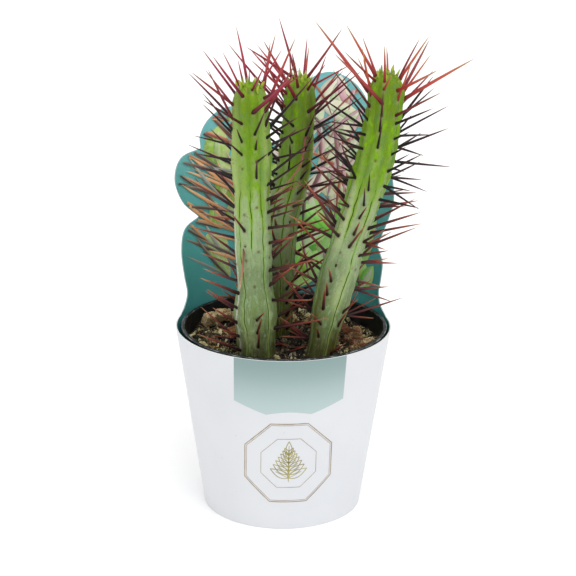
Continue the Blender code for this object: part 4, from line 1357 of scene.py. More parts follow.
def outer_sheet():
    """Vertices, faces facing out and edges along the rim of the card's outer side."""
    flat, faces = card_sheet()
    bm = bmesh.new()
    outer = [bm.verts.new(Vector(card_point(azimuth, z, 0.0))) for azimuth, z in flat]
    for face in faces:
        bm.faces.new([outer[i] for i in face])
    bmesh.ops.remove_doubles(bm, verts=bm.verts, dist=CARD_MERGE)
    bmesh.ops.recalc_face_normals(bm, faces=bm.faces)
    bm.faces.ensure_lookup_table()
    face = bm.faces[0]
    middle = face.calc_center_median()
    if face.normal.x * (middle.x - SLEEVE_CENTRE[0]) + face.normal.y * (middle.y - SLEEVE_CENTRE[1]) < 0.0:
        bmesh.ops.reverse_faces(bm, faces=bm.faces)
    bm.verts.index_update()
    verts = [tuple(vert.co) for vert in bm.verts]
    sheet = [tuple(vert.index for vert in face.verts) for face in bm.faces]
    rim = [(loop.vert.index, loop.link_loop_next.vert.index)
           for edge in bm.edges if edge.is_boundary for loop in edge.link_loops]
    bm.free()
    return verts, sheet, rim


def make_sleeve():
    """One piece of card: white outside, teal inside, with its cut edge."""
    verts, sheet, rim = outer_sheet()
    count = len(verts)
    for x, y, z in list(verts):
        out = Vector((x - SLEEVE_CENTRE[0], y - SLEEVE_CENTRE[1]))
        out *= (out.length - CARD) / out.length
        verts.append((SLEEVE_CENTRE[0] + out.x, SLEEVE_CENTRE[1] + out.y, z))
    inner = [tuple(i + count for i in reversed(face)) for face in sheet]
    edge = [(b, a, a + count, b + count) for a, b in rim]
    paints = [card_white_paint(), card_teal_paint(), card_edge_paint()]
    kinds = [0] * len(sheet) + [1] * len(inner) + [2] * len(edge)
    sleeve = make_piece("sleeve_card_sheet", verts, sheet + inner + edge, paints, kinds,
                        replaces="sleeve")
    sleeve.data.set_sharp_from_angle(angle=SHARP_ANGLE)


def strip(points, widths, place):
    """A ribbon along points of the flat card, put on the card by a function, in lanes where it is wide."""
    lanes = 2 * max(math.ceil(max(widths) / (2.0 * LANE_WIDTH)), 1)
    verts = []
    for i, point in enumerate(points):
        before = points[max(i - 1, 0)]
        after = points[min(i + 1, len(points) - 1)]
        way = (after - before).normalized()
        across = Vector((-way.y, way.x))
        for lane in range(lanes + 1):
            verts.append(place(point + across * widths[i] * (0.5 - lane / lanes)))
    row = lanes + 1
    faces = [(a, a + 1, a + row + 1, a + row)
             for i in range(len(points) - 1) for a in range(i * row, i * row + lanes)]
    sides = [1.0 - lane / lanes for lane in range(row)] * len(points)
    return verts, faces, sides


def make_banner():
    """Blank banner that hangs from the card's front edge."""
    verts = []
    places, heights = zip(*BANNER_EDGE)
    for i in range(BANNER_COLUMNS + 1):
        share = i / BANNER_COLUMNS
        bottom = float(np.interp(share, places, heights))
        for row in range(BANNER_ROWS + 1):
            z = bottom + (SLEEVE_TOP - bottom) * row / BANNER_ROWS
            drop = (SLEEVE_TOP - z) / (SLEEVE_TOP - heights[0])
            left, right = (top + (low - top) * drop for top, low in zip(BANNER_TOP, BANNER_LOW))
            verts.append(card_point(math.radians(left + (right - left) * share), z, INK_LIFT))
    wide = BANNER_ROWS + 1
    faces = [(a, a + wide, a + wide + 1, a + 1)
             for i in range(BANNER_COLUMNS) for a in range(i * wide, i * wide + BANNER_ROWS)]
    make_piece("sleeve_banner", verts, faces, [banner_paint()])


def sprig_lines():
    """Lines (points, width) of the sprig: its stalk, and the outline and vein of each leaf."""
    foot = -SPRIG_HEIGHT * 0.5
    lines = [([Vector((0.0, foot)), Vector((0.0, foot + SPRIG_HEIGHT * SPRIG_STALK))], SPRIG_LINE)]
    length, half = SPRIG_LEAF
    leaves = [(Vector((0.0, foot + SPRIG_HEIGHT * SPRIG_TOP)), math.pi * 0.5, SPRIG_TOP_SIZE)]
    for i in range(SPRIG_PAIRS):
        at = Vector((0.0, foot + SPRIG_HEIGHT * (SPRIG_FIRST + SPRIG_TOP * i / SPRIG_PAIRS)))
        for sign in (1.0, -1.0):
            heading = math.pi * 0.5 - sign * (SPRIG_OPEN[0] - SPRIG_OPEN[1] * i)
            leaves.append((at, heading, 1.0 - SPRIG_SHRINK * i))
    for at, heading, size in leaves:
        way = Vector((math.cos(heading), math.sin(heading)))
        across = Vector((-way.y, way.x))
        for side in (1.0, -1.0):
            points = []
            for i in range(SPRIG_LEAF_STEPS + 1):
                part = i / SPRIG_LEAF_STEPS
                swell = math.sin(math.pi * part ** SPRIG_LEAF_POWER) * half * size * side
                points.append(at + way * length * size * part + across * swell)
            lines.append((points, SPRIG_LINE))
        lines.append(([at, at + way * length * size * SPRIG_VEIN], SPRIG_LINE * SPRIG_VEIN))
    return lines


def make_emblem():
    """A thin gold line drawing: a sprig of leaves in an eight-sided frame."""
    heap = Heap()

    def place(point):
        z = EMBLEM_HEIGHT + point.y
        azimuth = math.radians(EMBLEM_AZIMUTH) + point.x / sleeve_radius(z)
        return card_point(azimuth, z, INK_LIFT)

    def line(points, width, ink):
        fine = []
        for a, b in zip(points, points[1:]):
            parts = max(int((b - a).length / EMBLEM_STEP), 1)
            fine += [a.lerp(b, i / parts) for i in range(parts)]
        fine.append(points[-1])
        verts, faces, _ = strip(fine, [width] * len(fine), place)
        heap.add(verts, faces, ink)

    for radius, width in zip(EMBLEM_RADII, EMBLEM_LINES):
        corners = []
        for i in range(EMBLEM_SIDES):
            angle = math.tau * (i + 0.5) / EMBLEM_SIDES
            corners.append(Vector((radius * math.cos(angle), radius * math.sin(angle))))
        line(corners + corners[:1], width, 0)
    for points, width in sprig_lines():
        line(points, width, 1)
    inks = [emblem_paint("emblem_frame_ink", "#a8957c", "#8f7d66"),
            emblem_paint("emblem_sprig_ink", "#a39a55", "#857c3c")]
    heap.make("sleeve_emblem", inks, "sleeve_card")


class PanelPrint:
    """Printed picture on the panel's inner face: fans of thin blades and broad leaves."""

    BLADE_STEPS = 16
    SHORTEST = 7
    TRIES = 8
    SHORTER = 0.8
    NARROWER = 0.85
    BLADE_SWELL = 0.94
    BLADE_START = 0.05
    BLADE_POWER = 0.8
    BLADE_LEAST = 0.06
    OUTLINE_DROP = 5.0
    FAN_SCATTER = 0.1
    LEAF_UP = (50.0, 130.0)
    LEAF_TURN = 0.5
    LEAF_BEND = 0.4
    LEAF_TONE = 0.5
    BAND_LENGTH = 0.9
    BAND_BREADTH = (0.25, 0.5)

    def __init__(self):
        self.heap = Heap("run", "tone", "side")
        self.drawn = []
        self.draw = random.Random(PRINT_SEED)
        self.rim = [(azimuth * UNROLLED_RADIUS, z) for azimuth, z in panel_rim()]
        low = PRINT_AREA[1][0] - self.OUTLINE_DROP
        self.rim += [(self.rim[-1][0], low), (self.rim[0][0], low)]
        self.inks = list(INKS)

    def holds(self, point):
        """True where a point of the unrolled card lies inside the panel."""
        inside = False
        for (x0, z0), (x1, z1) in zip(self.rim, self.rim[1:] + self.rim[:1]):
            if (z0 > point.y) != (z1 > point.y):
                if point.x < (x1 - x0) * (point.y - z0) / (z1 - z0) + x0:
                    inside = not inside
        return inside

    def has_room(self, spot):
        return all(self.holds(spot + Vector((side, 0.0))) for side in (-PRINT_MARGIN, PRINT_MARGIN))

    def layer_over(self, points, reach):
        """The layer just over all the blades that a blade along these points touches."""
        spots = np.array(points)
        layer = 0
        for other, other_reach, other_layer in self.drawn:
            gaps = np.linalg.norm(spots[:, None] - other[None], axis=2)
            if gaps.min() < reach + other_reach:
                layer = max(layer, other_layer + 1)
        self.drawn.append((spots, reach, layer))
        return layer

    def blade(self, foot, heading, length, width, bend, ink, tone, cut=False):
        """One tapered blade, cut off at the panel's edge or else made smaller until it lies inside."""
        shares = [i / self.BLADE_STEPS for i in range(self.BLADE_STEPS + 1)]
        for _ in range(self.TRIES):
            points, widths = [], []
            point = Vector(foot)
            angle = heading
            step = length / self.BLADE_STEPS
            for part in shares:
                points.append(point.copy())
                swell = math.sin(math.pi * min(part * self.BLADE_SWELL + self.BLADE_START, 1.0))
                widths.append(max(width * swell ** self.BLADE_POWER, self.BLADE_LEAST))
                point = point + Vector((math.cos(angle), math.sin(angle))) * step
                angle += bend / self.BLADE_STEPS
            inside = [self.has_room(spot) for spot in points]
            keep = inside.index(False) if cut and False in inside else len(points)
            if keep >= self.SHORTEST and all(inside[:keep]):
                self.add_blade(points[:keep], widths[:keep], step, ink, shares, tone)
                return
            length *= self.SHORTER
            width *= self.NARROWER

    def add_blade(self, points, widths, step, ink, shares, tone):
        """A blade's ribbon, laid over all the blades that it touches."""
        lift = INK_LIFT + INK_LAYER * self.layer_over(points, max(widths) * 0.5 + step * 0.5)

        def place(point):
            return card_point(point.x / UNROLLED_RADIUS, point.y, lift, inside=True)

        verts, faces, sides = strip(points, widths, place)
        row = len(verts) // len(points)
        runs = [part for part in shares[:len(points)] for _ in range(row)]
        self.heap.add(verts, faces, self.inks.index(ink), run=runs, tone=tone, side=sides)

    def fan(self, foot, zone):
        """A fan of thin arching blades."""
        up = math.radians(self.draw.uniform(*zone["heading"]))
        spread = math.radians(zone["spread"])
        count = self.draw.randint(*zone["blades"])
        for i in range(count):
            lean = spread * (2.0 * (i + 0.5) / count - 1.0)
            lean += self.draw.uniform(-self.FAN_SCATTER, self.FAN_SCATTER)
            self.blade(foot, up + lean, self.draw.uniform(*zone["length"]), self.draw.uniform(*BLADE_WIDTH),
                       lean * FAN_ARCH, self.draw.choice(zone["inks"]), self.draw.random(), cut=True)

    def leaf(self, foot, up, outer, inner):
        """A broad leaf with a band of another ink along its middle."""
        heading = up + self.draw.uniform(-self.LEAF_TURN, self.LEAF_TURN)
        length = self.draw.uniform(*LEAF_SPAN)
        width = self.draw.uniform(*LEAF_BREADTH)
        bend = self.draw.uniform(-self.LEAF_BEND, self.LEAF_BEND)
        tone = self.draw.random() * self.LEAF_TONE
        self.blade(foot, heading, length, width, bend, outer, tone)
        band = width * self.draw.uniform(*self.BAND_BREADTH)
        self.blade(foot, heading, length * self.BAND_LENGTH, band, bend, inner, tone)

    def make(self):
        feet = []
        fans = []
        (left, right), (low, high) = PRINT_AREA
        for _ in range(PRINT_TRIES):
            x = self.draw.uniform(left, right)
            z = self.draw.uniform(low, high)
            foot = Vector((back_azimuth(x, z) * UNROLLED_RADIUS, z))
            if not self.holds(foot) or any((foot - other).length < PRINT_SPACING for other in feet):
                continue
            for zone in PRINT_ZONES:
                (west, east), (bottom, top) = zone["across"], zone["up"]
                if west < x < east and bottom < z < top:
                    feet.append(foot)
                    fans.append((foot, zone))
                    for _ in range(zone["leaves"]):
                        up = math.radians(self.draw.uniform(*self.LEAF_UP))
                        self.leaf(foot, up, *self.draw.choice(zone["leaf_inks"]))
        for foot, zone in fans:
            self.fan(foot, zone)
        paints = [print_paint("ink_" + name, ((0.0, at_foot), (place, middle), (1.0, tip)), veins)
                  for name, (at_foot, place, middle, tip, veins) in INKS.items()]
        self.heap.make("sleeve_picture", paints, "sleeve_card")


def round_shape(subdivisions):
    """Vertices and faces of a unit icosphere."""
    bm = bmesh.new()
    bmesh.ops.create_icosphere(bm, subdivisions=subdivisions, radius=1.0)
    verts = np.array([vert.co[:] for vert in bm.verts])
    faces = [tuple(vert.index for vert in face.verts) for face in bm.faces]
    bm.free()
    return verts, faces


def turn_matrix(draw):
    angles = [draw.uniform(0.0, math.tau) for _ in range(3)]
    turn = Matrix.Rotation(angles[0], 3, "X") @ Matrix.Rotation(angles[1], 3, "Y")
    return np.array(turn @ Matrix.Rotation(angles[2], 3, "Z"))


def soil_spot(draw, reach=SOIL_REACH - SOIL_EDGE):
    """A random place on the soil, clear of the stems' feet."""
    while True:
        away = reach * math.sqrt(draw.random())
        angle = draw.uniform(0.0, math.tau)
        x, y = away * math.cos(angle), away * math.sin(angle)
        if from_stems(x, y) > SPOT_FROM_STEM:
            return x, y


def make_ground():
    """The soil's body, with a fine lumpy top."""
    verts = [(0.0, 0.0, soil_height(0.0, 0.0))]
    rings = []
    for ring in range(1, SOIL_RINGS + 1):
        rings.append(len(verts))
        for x, y, _ in circle(SOIL_REACH * ring / SOIL_RINGS, 0.0, SOIL_COLUMNS):
            z = soil_height(x, y)
            for layer in (SOIL_GRAIN, SOIL_GRIT):
                z += relief(x, y, layer)
            verts.append((x, y, z))
    for radius, z in ((BAND_BOTTOM_RADIUS, BAND_BOTTOM), (POT_FOOT_RADIUS, SOIL_BOTTOM)):
        rings.append(len(verts))
        verts += circle(radius - POT_WALL - CLEARANCE, z, SOIL_COLUMNS)
    faces = turned_faces(rings, SOIL_COLUMNS)
    faces.append(tuple(rings[-1] + i for i in reversed(range(SOIL_COLUMNS))))
    make_piece("soil_ground", verts, faces, [peat_paint()], replaces="soil")


def chip_shape():
    """Corners of a unit cube, and points and faces of the cube with its sides divided."""
    bm = bmesh.new()
    bmesh.ops.create_cube(bm, size=1.0)
    corners = [vert.co.copy() for vert in bm.verts]
    bmesh.ops.subdivide_edges(bm, edges=bm.edges, cuts=CHIP_CUTS, use_grid_fill=True)
    grid = [vert.co.copy() for vert in bm.verts]
    faces = [tuple(vert.index for vert in face.verts) for face in bm.faces]
    bm.free()
    return corners, grid, faces


def rough_chip(shape, draw, size, heading, tilts, place, number):
    """Vertices of one rough chip, and their places in the chip itself for its paint."""
    corners, grid, _ = shape
    scales = [draw.uniform(*CHIP_ROUGH) for _ in corners]
    turn = Matrix.Rotation(heading, 3, "Z") @ Matrix.Rotation(tilts[1], 3, "Y")
    turn = turn @ Matrix.Rotation(tilts[0], 3, "X")
    verts, local = [], []
    for point in grid:
        near = 0.0
        total = 0.0
        for corner, scale in zip(corners, scales):
            weight = 1.0
            for a, b in zip(point, corner):
                weight *= max(1.0 - abs(a - b), 0.0)
            near += weight * scale
            total += weight
        spot = Vector(a * b for a, b in zip(point, size)) * (near / total)
        rough = 0.0
        for scale, shift, height in CHIP_RELIEF:
            x, y, z = (a * b for a, b in zip(spot, scale))
            rough += noise.noise(Vector((x, y, z + number * shift))) * height
        local.append((spot.x + number * CHIP_APART, spot.y, spot.z))
        spot *= (1.0 - CHIP_BLUNT * (point.length / CHIP_HALF_DIAGONAL) ** 4
                 + rough / max(spot.length, CHIP_CORE) * CHIP_RELIEF_SHARE)
        verts.append(tuple(turn @ spot + place))
    return verts, local


def make_chips(paint):
    """Rough bark chips, half sunk in the soil."""
    draw = random.Random(CHIP_SEED)
    heap = Heap("tone", "chip", "rust")
    shape = chip_shape()
    faces = shape[2]
    least, spread = CHIP_TONES
    made = 0
    while made < CHIP_COUNT:
        reach = CHIP_SPREAD * math.sqrt(draw.random())
        angle = draw.uniform(0.0, math.tau)
        x, y = reach * math.cos(angle), reach * math.sin(angle)
        size = Vector([draw.uniform(*limits) for limits in CHIP_SIZES])
        tilts = [draw.uniform(-CHIP_TILT, CHIP_TILT) for _ in range(2)]
        heading = draw.uniform(0.0, math.tau)
        if from_stems(x, y) < CHIP_FROM_STEM:
            continue
        place = Vector((x, y, soil_height(x, y) + CHIP_LIFT))
        verts, local = rough_chip(shape, draw, size, heading, tilts, place, made)
        heap.add(verts, faces, 0, tone=least + spread * (made * GOLDEN_SHARE % 1.0), chip=local,
                 rust=made * RUST_SHARE % 1.0)
        made += 1
    for place, size, heading, tilt, rust in CHIPS_STANDING:
        tilts = (math.radians(tilt), 0.0)
        verts, local = rough_chip(shape, draw, size, math.radians(heading), tilts, Vector(place), made)
        heap.add(verts, faces, 0, tone=1.0, chip=local, rust=rust)
        made += 1
    heap.make("soil_chips", [paint], "soil_mix")


def add_bits(heap, draw, count, sizes, flat, tones, paint, shape, spots=None, sink=BIT_SINK):
    """Small rough lumps lying on the soil."""
    base, faces = shape
    least, most = sizes
    for index in range(count):
        x, y = spots[index] if spots else soil_spot(draw)
        size = least + (most - least) * draw.random() ** BIT_SKEW
        scale = np.array([size * draw.uniform(*limits) for limits in (BIT_LENGTH, BIT_WIDTH, flat)])
        rough = 1.0 + BIT_ROUGH * np.array([draw.random() - 0.5 for _ in range(len(base))])
        verts = (base * rough[:, None] * scale) @ turn_matrix(draw).T * 0.5
        verts += np.array((x, y, soil_height(x, y) + size * sink + relief(x, y, SOIL_GRAIN)))
        heap.add([tuple(v) for v in verts], faces, paint, tone=draw.uniform(*tones))


def add_fibre(heap, draw, paint):
    """A thin bent root or straw on the soil."""
    x, y = soil_spot(draw)
    angle = draw.uniform(0.0, math.tau)
    length = draw.uniform(*FIBRE_LENGTH)
    bend = draw.uniform(-FIBRE_BEND, FIBRE_BEND)
    thick = draw.uniform(*FIBRE_RADIUS)
    rise = draw.uniform(*FIBRE_RISE)
    verts = []
    for i in range(FIBRE_STEPS + 1):
        part = i / FIBRE_STEPS
        z = soil_height(x, y) + FIBRE_LIFT + rise * math.sin(math.pi * part) * FIBRE_ARCH
        across = Vector((-math.sin(angle), math.cos(angle), 0.0))
        radius = thick * (1.0 - 0.5 * part)
        for k in range(FIBRE_SIDES):
            turn = math.tau * k / FIBRE_SIDES
            offset = across * math.cos(turn) * radius + Vector((0.0, 0.0, math.sin(turn) * radius))
            verts.append((x + offset.x, y + offset.y, z + offset.z))
        x += math.cos(angle) * length / FIBRE_STEPS
        y += math.sin(angle) * length / FIBRE_STEPS
        if math.hypot(x, y) > LITTER_REACH:
            angle += math.pi * 0.5
        angle += bend / FIBRE_STEPS
    heap.add(verts, tube_faces(FIBRE_STEPS, FIBRE_SIDES, closed=False), paint, tone=draw.random())


def make_litter():
    """Crumbs, flakes, fibres, pale grains and moss on the soil."""
    draw = random.Random(LITTER_SEED)
    paints = [litter_paint(name, stops) for name, stops in LITTER_TONES.items()]
    small, fine = round_shape(1), round_shape(2)
    crumbs = Heap("tone")
    add_bits(crumbs, draw, CRUMBS, CRUMB_SIZES, CRUMB_FLAT, CRUMB_TONE, 0, small)
    crumbs.make("soil_crumbs", paints[:1], "soil_mix", smooth=False)
    litter = Heap("tone")
    add_bits(litter, draw, FLAKES, FLAKE_SIZES, FLAKE_FLAT, FLAKE_TONE, 0, fine)
    add_bits(litter, draw, PERLITE, PERLITE_SIZES, PERLITE_FLAT, PERLITE_TONE, 1, fine,
             sink=PERLITE_SINK)
    spots = []
    while len(spots) < MOSS_GRAINS * len(MOSS_PATCHES):
        x, y = MOSS_PATCHES[len(spots) % len(MOSS_PATCHES)]
        x += draw.gauss(0.0, MOSS_SPREAD)
        y += draw.gauss(0.0, MOSS_SPREAD)
        if math.hypot(x, y) < LITTER_REACH:
            spots.append((x, y))
    add_bits(litter, draw, len(spots), MOSS_SIZES, MOSS_FLAT, MOSS_TONE, 2, small, spots, MOSS_SINK)
    for _ in range(FIBRES):
        add_fibre(litter, draw, 3)
    litter.make("soil_litter", paints, "soil_mix", smooth=False)


def tube_faces(spans, sides, closed=True):
    """Faces of a tube of rings, closed at its far end or left open."""
    faces = []
    for i in range(spans):
        low, high = i * sides, (i + 1) * sides
        for k in range(sides):
            j = (k + 1) % sides
            faces.append((low + k, low + j, high + j, high + k))
    if closed:
        faces.append(tuple(spans * sides + k for k in range(sides)))
    return faces


def add_ring(verts, centre, side, other, radius, share=1.0):
    """Adds the points of a spine's ring round a centre."""
    for k in range(SPINE_SIDES):
        angle = math.tau * k / SPINE_SIDES
        verts.append(tuple(centre + (side * math.cos(angle) + other * math.sin(angle)) * radius * share))


def add_spine(heap, start, tip, radius, profile, paint, draw, sink=SPINE_SINK, bend=SPINE_BOW, **facts):
    """A round tapered spine or leaf with a slight bow."""
    way = (tip - start).normalized()
    root = start - way * sink
    length = (tip - root).length
    side = way.orthogonal().normalized()
    other = way.cross(side)
    turn = draw.uniform(0.0, math.tau)
    bow = side * math.cos(turn) + other * math.sin(turn)
    bow *= length * draw.uniform(-bend, bend)
    verts, runs = [], []
    for part, share in profile:
        middle = root + way * length * part + bow * math.sin(math.pi * part)
        add_ring(verts, middle, side, other, radius, share)
        runs += [part] * SPINE_SIDES
    heap.add(verts, tube_faces(len(profile) - 1, SPINE_SIDES), paint, run=runs, **facts)


def rib_shares():
    """Columns across a rib from 0 to 1, gathered towards its creases."""
    shares = []
    for i in range(RIB_STEPS):
        part = i / RIB_STEPS
        shares.append(part - math.sin(math.tau * part) * RIB_GATHER / math.tau)
    return np.array(shares)


def wavy_crease(stem, k, s):
    """Azimuth of a crease with its small waver."""
    width, sway = CREASE_WAVE
    count = stem.rib_count()
    place = Vector((s / width, (k % count) * CREASE_SHIFT, stem.spec["seed"]))
    return stem.crease(k, s) + noise.noise(place) * sway


def ring_heights(stem):
    """Heights of the skin's rings: over the buried end, along the stem, and close together at the apex."""
    rows = int((stem.height - TOP_GAP) / RING_STEP)
    heights = [-HOLE_DEPTH, -HOLE_DEPTH * 0.5, -NECK_DROP]
    heights += [RING_STEP * i for i in range(rows + 1)]
    dome = [stem.height - TOP_GAP * 0.5 ** i for i in range(1, TOP_RINGS + 1)]
    return heights + [s for s in dome if s > heights[-1] + TOP_LEAST]


def rib_ring(stem, s, crest, closing):
    """Azimuths in radians, radii, nearness to a crease, and cork, round one ring."""
    shares = rib_shares()
    valley = np.abs(2.0 * shares - 1.0)
    smooth = clamp((s / stem.height - SMOOTH_FROM) / (SMOOTH_FULL - SMOOTH_FROM))
    groove = valley ** GROOVE_POWER * (1.0 - smooth) * GROOVE_DEPTH
    broad = (0.5 - 0.5 * np.cos(np.pi * valley)) ** VALLEY_POWER * smooth * VALLEY_DEPTH
    full = CREASE_LOW + (CREASE_HIGH - CREASE_LOW) * max(s / stem.height, 0.0)
    azimuths, radii, creases, corks = [], [], [], []
    for k in range(stem.rib_count()):
        left, right = wavy_crease(stem, k, s), wavy_crease(stem, k + 1, s)
        azimuths.append(left + (right - left) * shares)
        depth = np.where(shares < 0.5, stem.crease_depth(k, s), stem.crease_depth(k + 1, s))
        radii.append(crest - depth * (groove + broad) - RIB_ROUND * closing * valley ** 2)
        share = depth / max(full * max(closing, LEAST_CLOSING), LEAST_DEPTH)
        creases.append(valley * np.clip(share, 0.0, 1.0))
        turned = abs(half_turn(0.5 * (left + right) - stem.spec["cork"]))
        low = clamp((CORK_TOP - s) / CORK_FADE) * clamp((CORK_TURN - turned) / CORK_BLUR)
        corks.append(np.clip(CORK_CORE - valley / CORK_WIDTH, 0.0, 1.0) * low)
    azimuth, radius, crease, cork = (np.concatenate(parts) for parts in (azimuths, radii, creases, corks))
    return np.radians(azimuth), radius, crease, cork


def areole_ring(areoles, s, azimuth, radius, crest, closing):
    """Radii swollen at the areoles, and the pale haloes, dark rings and scars round one ring."""
    halo, foot, scar = np.zeros((3, len(azimuth)))
    for index, (place, where, filled) in enumerate(areoles):
        rise = s - place
        if abs(rise) > AREOLE_REACH:
            continue
        arc = np.radians(half_turn(np.degrees(azimuth) - where)) * max(crest, 1.0)
        bump = np.exp(-(rise / BUMP_REACH[0]) ** 2 - (arc / BUMP_REACH[1]) ** 2)
        radius = radius + TUBERCLE * bump * closing * (1.0 if filled else EMPTY_BUMP)
        if filled:
            ring = np.exp(-((rise + HALO_DROP) / HALO_REACH[0]) ** 2 - (arc / HALO_REACH[1]) ** 2)
            halo = np.maximum(halo, ring)
            foot = np.maximum(foot, np.exp(-(rise ** 2 + arc ** 2) / FOOT_REACH ** 2))
        elif index * GOLDEN_SHARE % 1.0 < SCAR_SHARE:
            away = np.sqrt(rise ** 2 + arc ** 2)
            scar = np.maximum(scar, np.clip(SCAR_CORE - away / SCAR_RADIUS, 0.0, 1.0))
    return radius, halo, foot, scar


def stem_body(stem, areoles):
    """Rings of the stem's fine skin with the values that its paint reads."""
    heights = ring_heights(stem)
    seed = stem.spec["seed"]
    verts, facts = [], {key: [] for key in SKIN_FACTS}
    for s in heights:
        centre, _, front, side = stem.frame(s)
        crest = stem.crest_radius(max(s, 0.0))
        if s < 0.0:
            crest += (PEG_RADIUS - crest) * min(-s / HOLE_DEPTH, 1.0)
        closing = crest / blend_pairs(stem.spec["radius"], s)
        azimuth, radius, crease, cork = rib_ring(stem, s, crest, closing)
        radius, halo, foot, scar = areole_ring(areoles, s, azimuth, radius, crest, closing)
        bloom_and_painted_light = np.zeros(len(azimuth))
        for place, where, along, around, strength in stem.spec["bloom_and_painted_light"]:
            turn = half_turn(np.degrees(azimuth) - where)
            bloom_and_painted_light += strength * np.exp(-((s - place) / along) ** 2 - (turn / around) ** 2)
        for angle, reach in zip(azimuth, radius):
            out = front * math.cos(angle) + side * math.sin(angle)
            skin = Vector((math.cos(angle) * crest, math.sin(angle) * crest, s))
            uneven = noise.noise(skin / UNEVEN[0] + Vector((seed, 0.0, 0.0))) * UNEVEN[1]
            uneven += noise.noise(skin / WRINKLE[0] + Vector((0.0, seed, 0.0))) * WRINKLE[1]
            verts.append(tuple(centre + out * (reach + uneven * closing)))
            facts["skin"].append(tuple(skin + Vector((seed * SKIN_APART, 0.0, 0.0))))
        rise = [max(s, 0.0) / stem.height] * len(azimuth)
        for key, values in zip(SKIN_FACTS[1:], (rise, crease, halo, foot, scar, cork, bloom_and_painted_light)):
            facts[key] += list(values)
    columns = len(verts) // len(heights)
    faces = [tuple(reversed(range(columns)))] + tube_faces(len(heights) - 1, columns)
    return verts, faces, facts


def add_grown_spine(heap, stem, start, tip, s, draw):
    """A spine whose colour and thickness follow its place: fresh in the crown and old at the foot."""
    below = stem.height - s
    depth, scatter, fade = FRESH_TO
    crown = clamp((depth - below + draw.uniform(-scatter, scatter)) / fade)
    depth, scatter, fade = OLD_FROM
    old = clamp((below - depth + draw.uniform(-scatter, scatter)) / fade)
    thick = THICK_MIDDLE + (THICK_CROWN - THICK_MIDDLE) * crown
    radius = SPINE_RADIUS * draw.uniform(*SPINE_SPREAD) * (thick + (THICK_LOW - THICK_MIDDLE) * old)
    short = THICK_SHORT + (THICK_SHORT_CROWN - THICK_SHORT) * crown
    radius *= short + (1.0 - short) * min((tip - start).length / THICK_FROM, THICK_LIMIT)
    tone = max(draw.random(), clamp((below - DARK_FROM) / DARK_FADE, 0.0, DARK_TONE))
    warm = clamp(stem.spec["warm"] + draw.uniform(*WARM_SPREAD))
    add_spine(heap, start, tip, radius, SPINE_PROFILE, 1, draw, tone=tone, crown=crown, old=old, warm=warm)


def add_crown_leaves(heap, stem, draw):
    """Small leaves round the apex, turned by the golden angle from one to the next."""
    for i in range(LEAF_STUBS):
        azimuth = i * GOLDEN_TURN + draw.uniform(-LEAF_SCATTER, LEAF_SCATTER)
        s = stem.height - LEAF_TOP - LEAF_ZONE * (i / LEAF_STUBS) ** LEAF_CROWDING
        start = stem.point(s, azimuth, stem.crest_radius(s) - LEAF_INSET)
        _, along, out = stem.outward(s, azimuth)
        way = (out * draw.uniform(*LEAF_LEAN) + along).normalized()
        tip = start + way * draw.uniform(*LEAF_LENGTH)
        add_spine(heap, start, tip, draw.uniform(*LEAF_RADIUS), LEAF_PROFILE, 2, draw, sink=LEAF_SINK,
                  bend=LEAF_BOW, tone=draw.random())


def make_stem(name, stem, field, paints):
    """A stem's fine skin, its spines, the stubs of lost ones and the small leaves of its crown."""
    draw = random.Random(DETAIL_SEED + stem.spec["seed"])
    heap = Heap(*SKIN_FACTS[1:], *SPINE_FACTS)
    verts, faces, facts = stem_body(stem, field.areoles[name])
    skin = facts.pop("skin")
    heap.add(verts, faces, 0, **facts)
    for start, tip, s in field.placed[name]:
        add_grown_spine(heap, stem, start, tip, s, draw)
    for s, azimuth, filled in field.areoles[name]:
        if not filled and draw.random() <= STUB_SHARE:
            start, tip = stem.spine(s, azimuth, draw.uniform(*STUB_LIFT), 0.0, draw.uniform(*STUB_LENGTH))
            add_spine(heap, start, tip, STUB_RADIUS, STUB_PROFILE, 1, draw, tone=1.0, old=0.5)
    add_crown_leaves(heap, stem, draw)
    skin += [tuple(vert) for vert in heap.verts[len(skin):]]
    heap.make(name + "_grown", paints, "stem_skin", replaces=name, skin=skin)


def make_dry_stalks():
    """Withered, bent stalks that hang on the stems."""
    heap = Heap("run")
    depth = Vector((0.0, 1.0, 0.0))
    for radius, route in DRY_STALKS:
        centres = spline_points(route, STALK_STEPS)
        last = len(centres) - 1
        verts, runs = [], []
        for i, centre in enumerate(centres):
            way = (centres[min(i + 1, last)] - centres[max(i - 1, 0)]).normalized()
            side = way.cross(depth).normalized()
            add_ring(verts, centre, side, way.cross(side), radius * blend_pairs(STALK_PROFILE, i / last))
            runs += [i / last] * SPINE_SIDES
        heap.add(verts, tube_faces(last, SPINE_SIDES), 0, run=runs)
    heap.make("stem_dry_stalks", [stalk_paint()], "stem_skin")


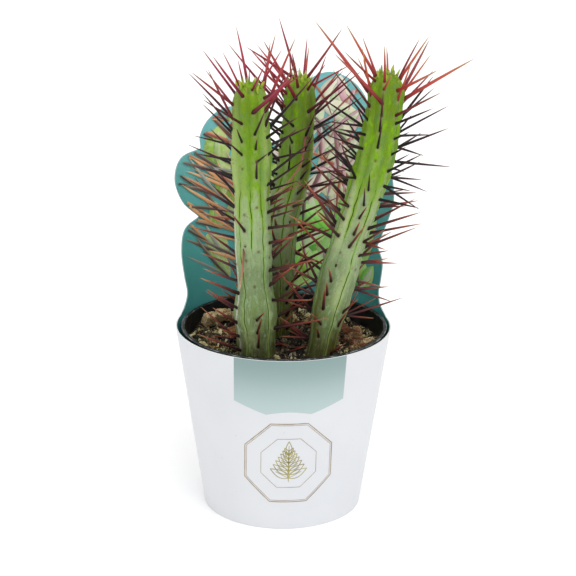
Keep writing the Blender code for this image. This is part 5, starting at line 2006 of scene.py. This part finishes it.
def make_fallen(paint):
    """Dropped spines that lie on the soil."""
    draw = random.Random(LITTER_SEED + 1)
    heap = Heap(*SPINE_FACTS)
    for _ in range(FALLEN_SPINES):
        x, y = soil_spot(draw, LITTER_REACH - FALLEN_LENGTH[1])
        angle = draw.uniform(0.0, math.tau)
        length = draw.uniform(*FALLEN_LENGTH)
        lift = draw.uniform(*FALLEN_LIFT)
        start = Vector((x, y, soil_height(x, y) + lift))
        x += math.cos(angle) * length
        y += math.sin(angle) * length
        tip = Vector((x, y, soil_height(x, y) + lift))
        add_spine(heap, start, tip, FALLEN_RADIUS, SPINE_PROFILE, 0, draw, tone=draw.random(), old=1.0)
    heap.make("soil_fallen_spines", [paint], "stem_skin")


# Stage

def make_stage():
    """Pale floor, pale sky, a broad soft key light and the camera."""
    mesh = bpy.data.meshes.new("floor")
    half = FLOOR_HALF
    corners = [(-half, -half, 0.0), (half, -half, 0.0), (half, half, 0.0), (-half, half, 0.0)]
    mesh.from_pydata(corners, [], [(0, 1, 2, 3)])
    mesh.materials.append(floor_paint())
    floor = add_object("floor", mesh)
    floor.location.z = -FLOOR_DROP
    world = bpy.data.worlds.new("pale_studio")
    world.use_nodes = True
    sky = world.node_tree.nodes["Background"]
    sky.inputs["Color"].default_value = (1.0, 1.0, 1.0, 1.0)
    sky.inputs["Strength"].default_value = WORLD_LIGHT
    scene = bpy.context.scene
    scene.world = world
    sun = bpy.data.lights.new("key", "SUN")
    sun.energy = KEY_LIGHT
    sun.angle = math.radians(KEY_SOFTNESS)
    key = add_object("key", sun)
    key.rotation_euler = Vector(KEY_FROM).to_track_quat("Z", "Y").to_euler()
    scene.view_settings.view_transform = "Standard"
    data = bpy.data.cameras.new("camera")
    data.lens = CAMERA_LENS
    data.sensor_width = CAMERA_SENSOR
    data.clip_start = CAMERA_NEAR
    scene.camera = add_object("camera", data)
    turn = Matrix.Rotation(math.pi / 2 - math.radians(CAMERA_PITCH), 4, "X")
    turn = turn @ Matrix.Rotation(math.radians(CAMERA_ROLL), 4, "Z")
    scene.camera.matrix_world = Matrix.Translation(CAMERA_PLACE) @ turn


def main():
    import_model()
    make_stage()
    make_pot()
    make_sleeve()
    make_banner()
    make_emblem()
    PanelPrint().make()
    make_ground()
    make_chips(bark_paint())
    make_litter()
    stems = {name: Stem(spec) for name, spec in STEMS.items()}
    field = SpineField(stems)
    field.grow()
    horn = spine_paint()
    paints = [skin_paint(), horn, leaf_paint()]
    for name, stem in stems.items():
        make_stem(name, stem, field, paints)
    make_dry_stalks()
    make_fallen(horn)


main()
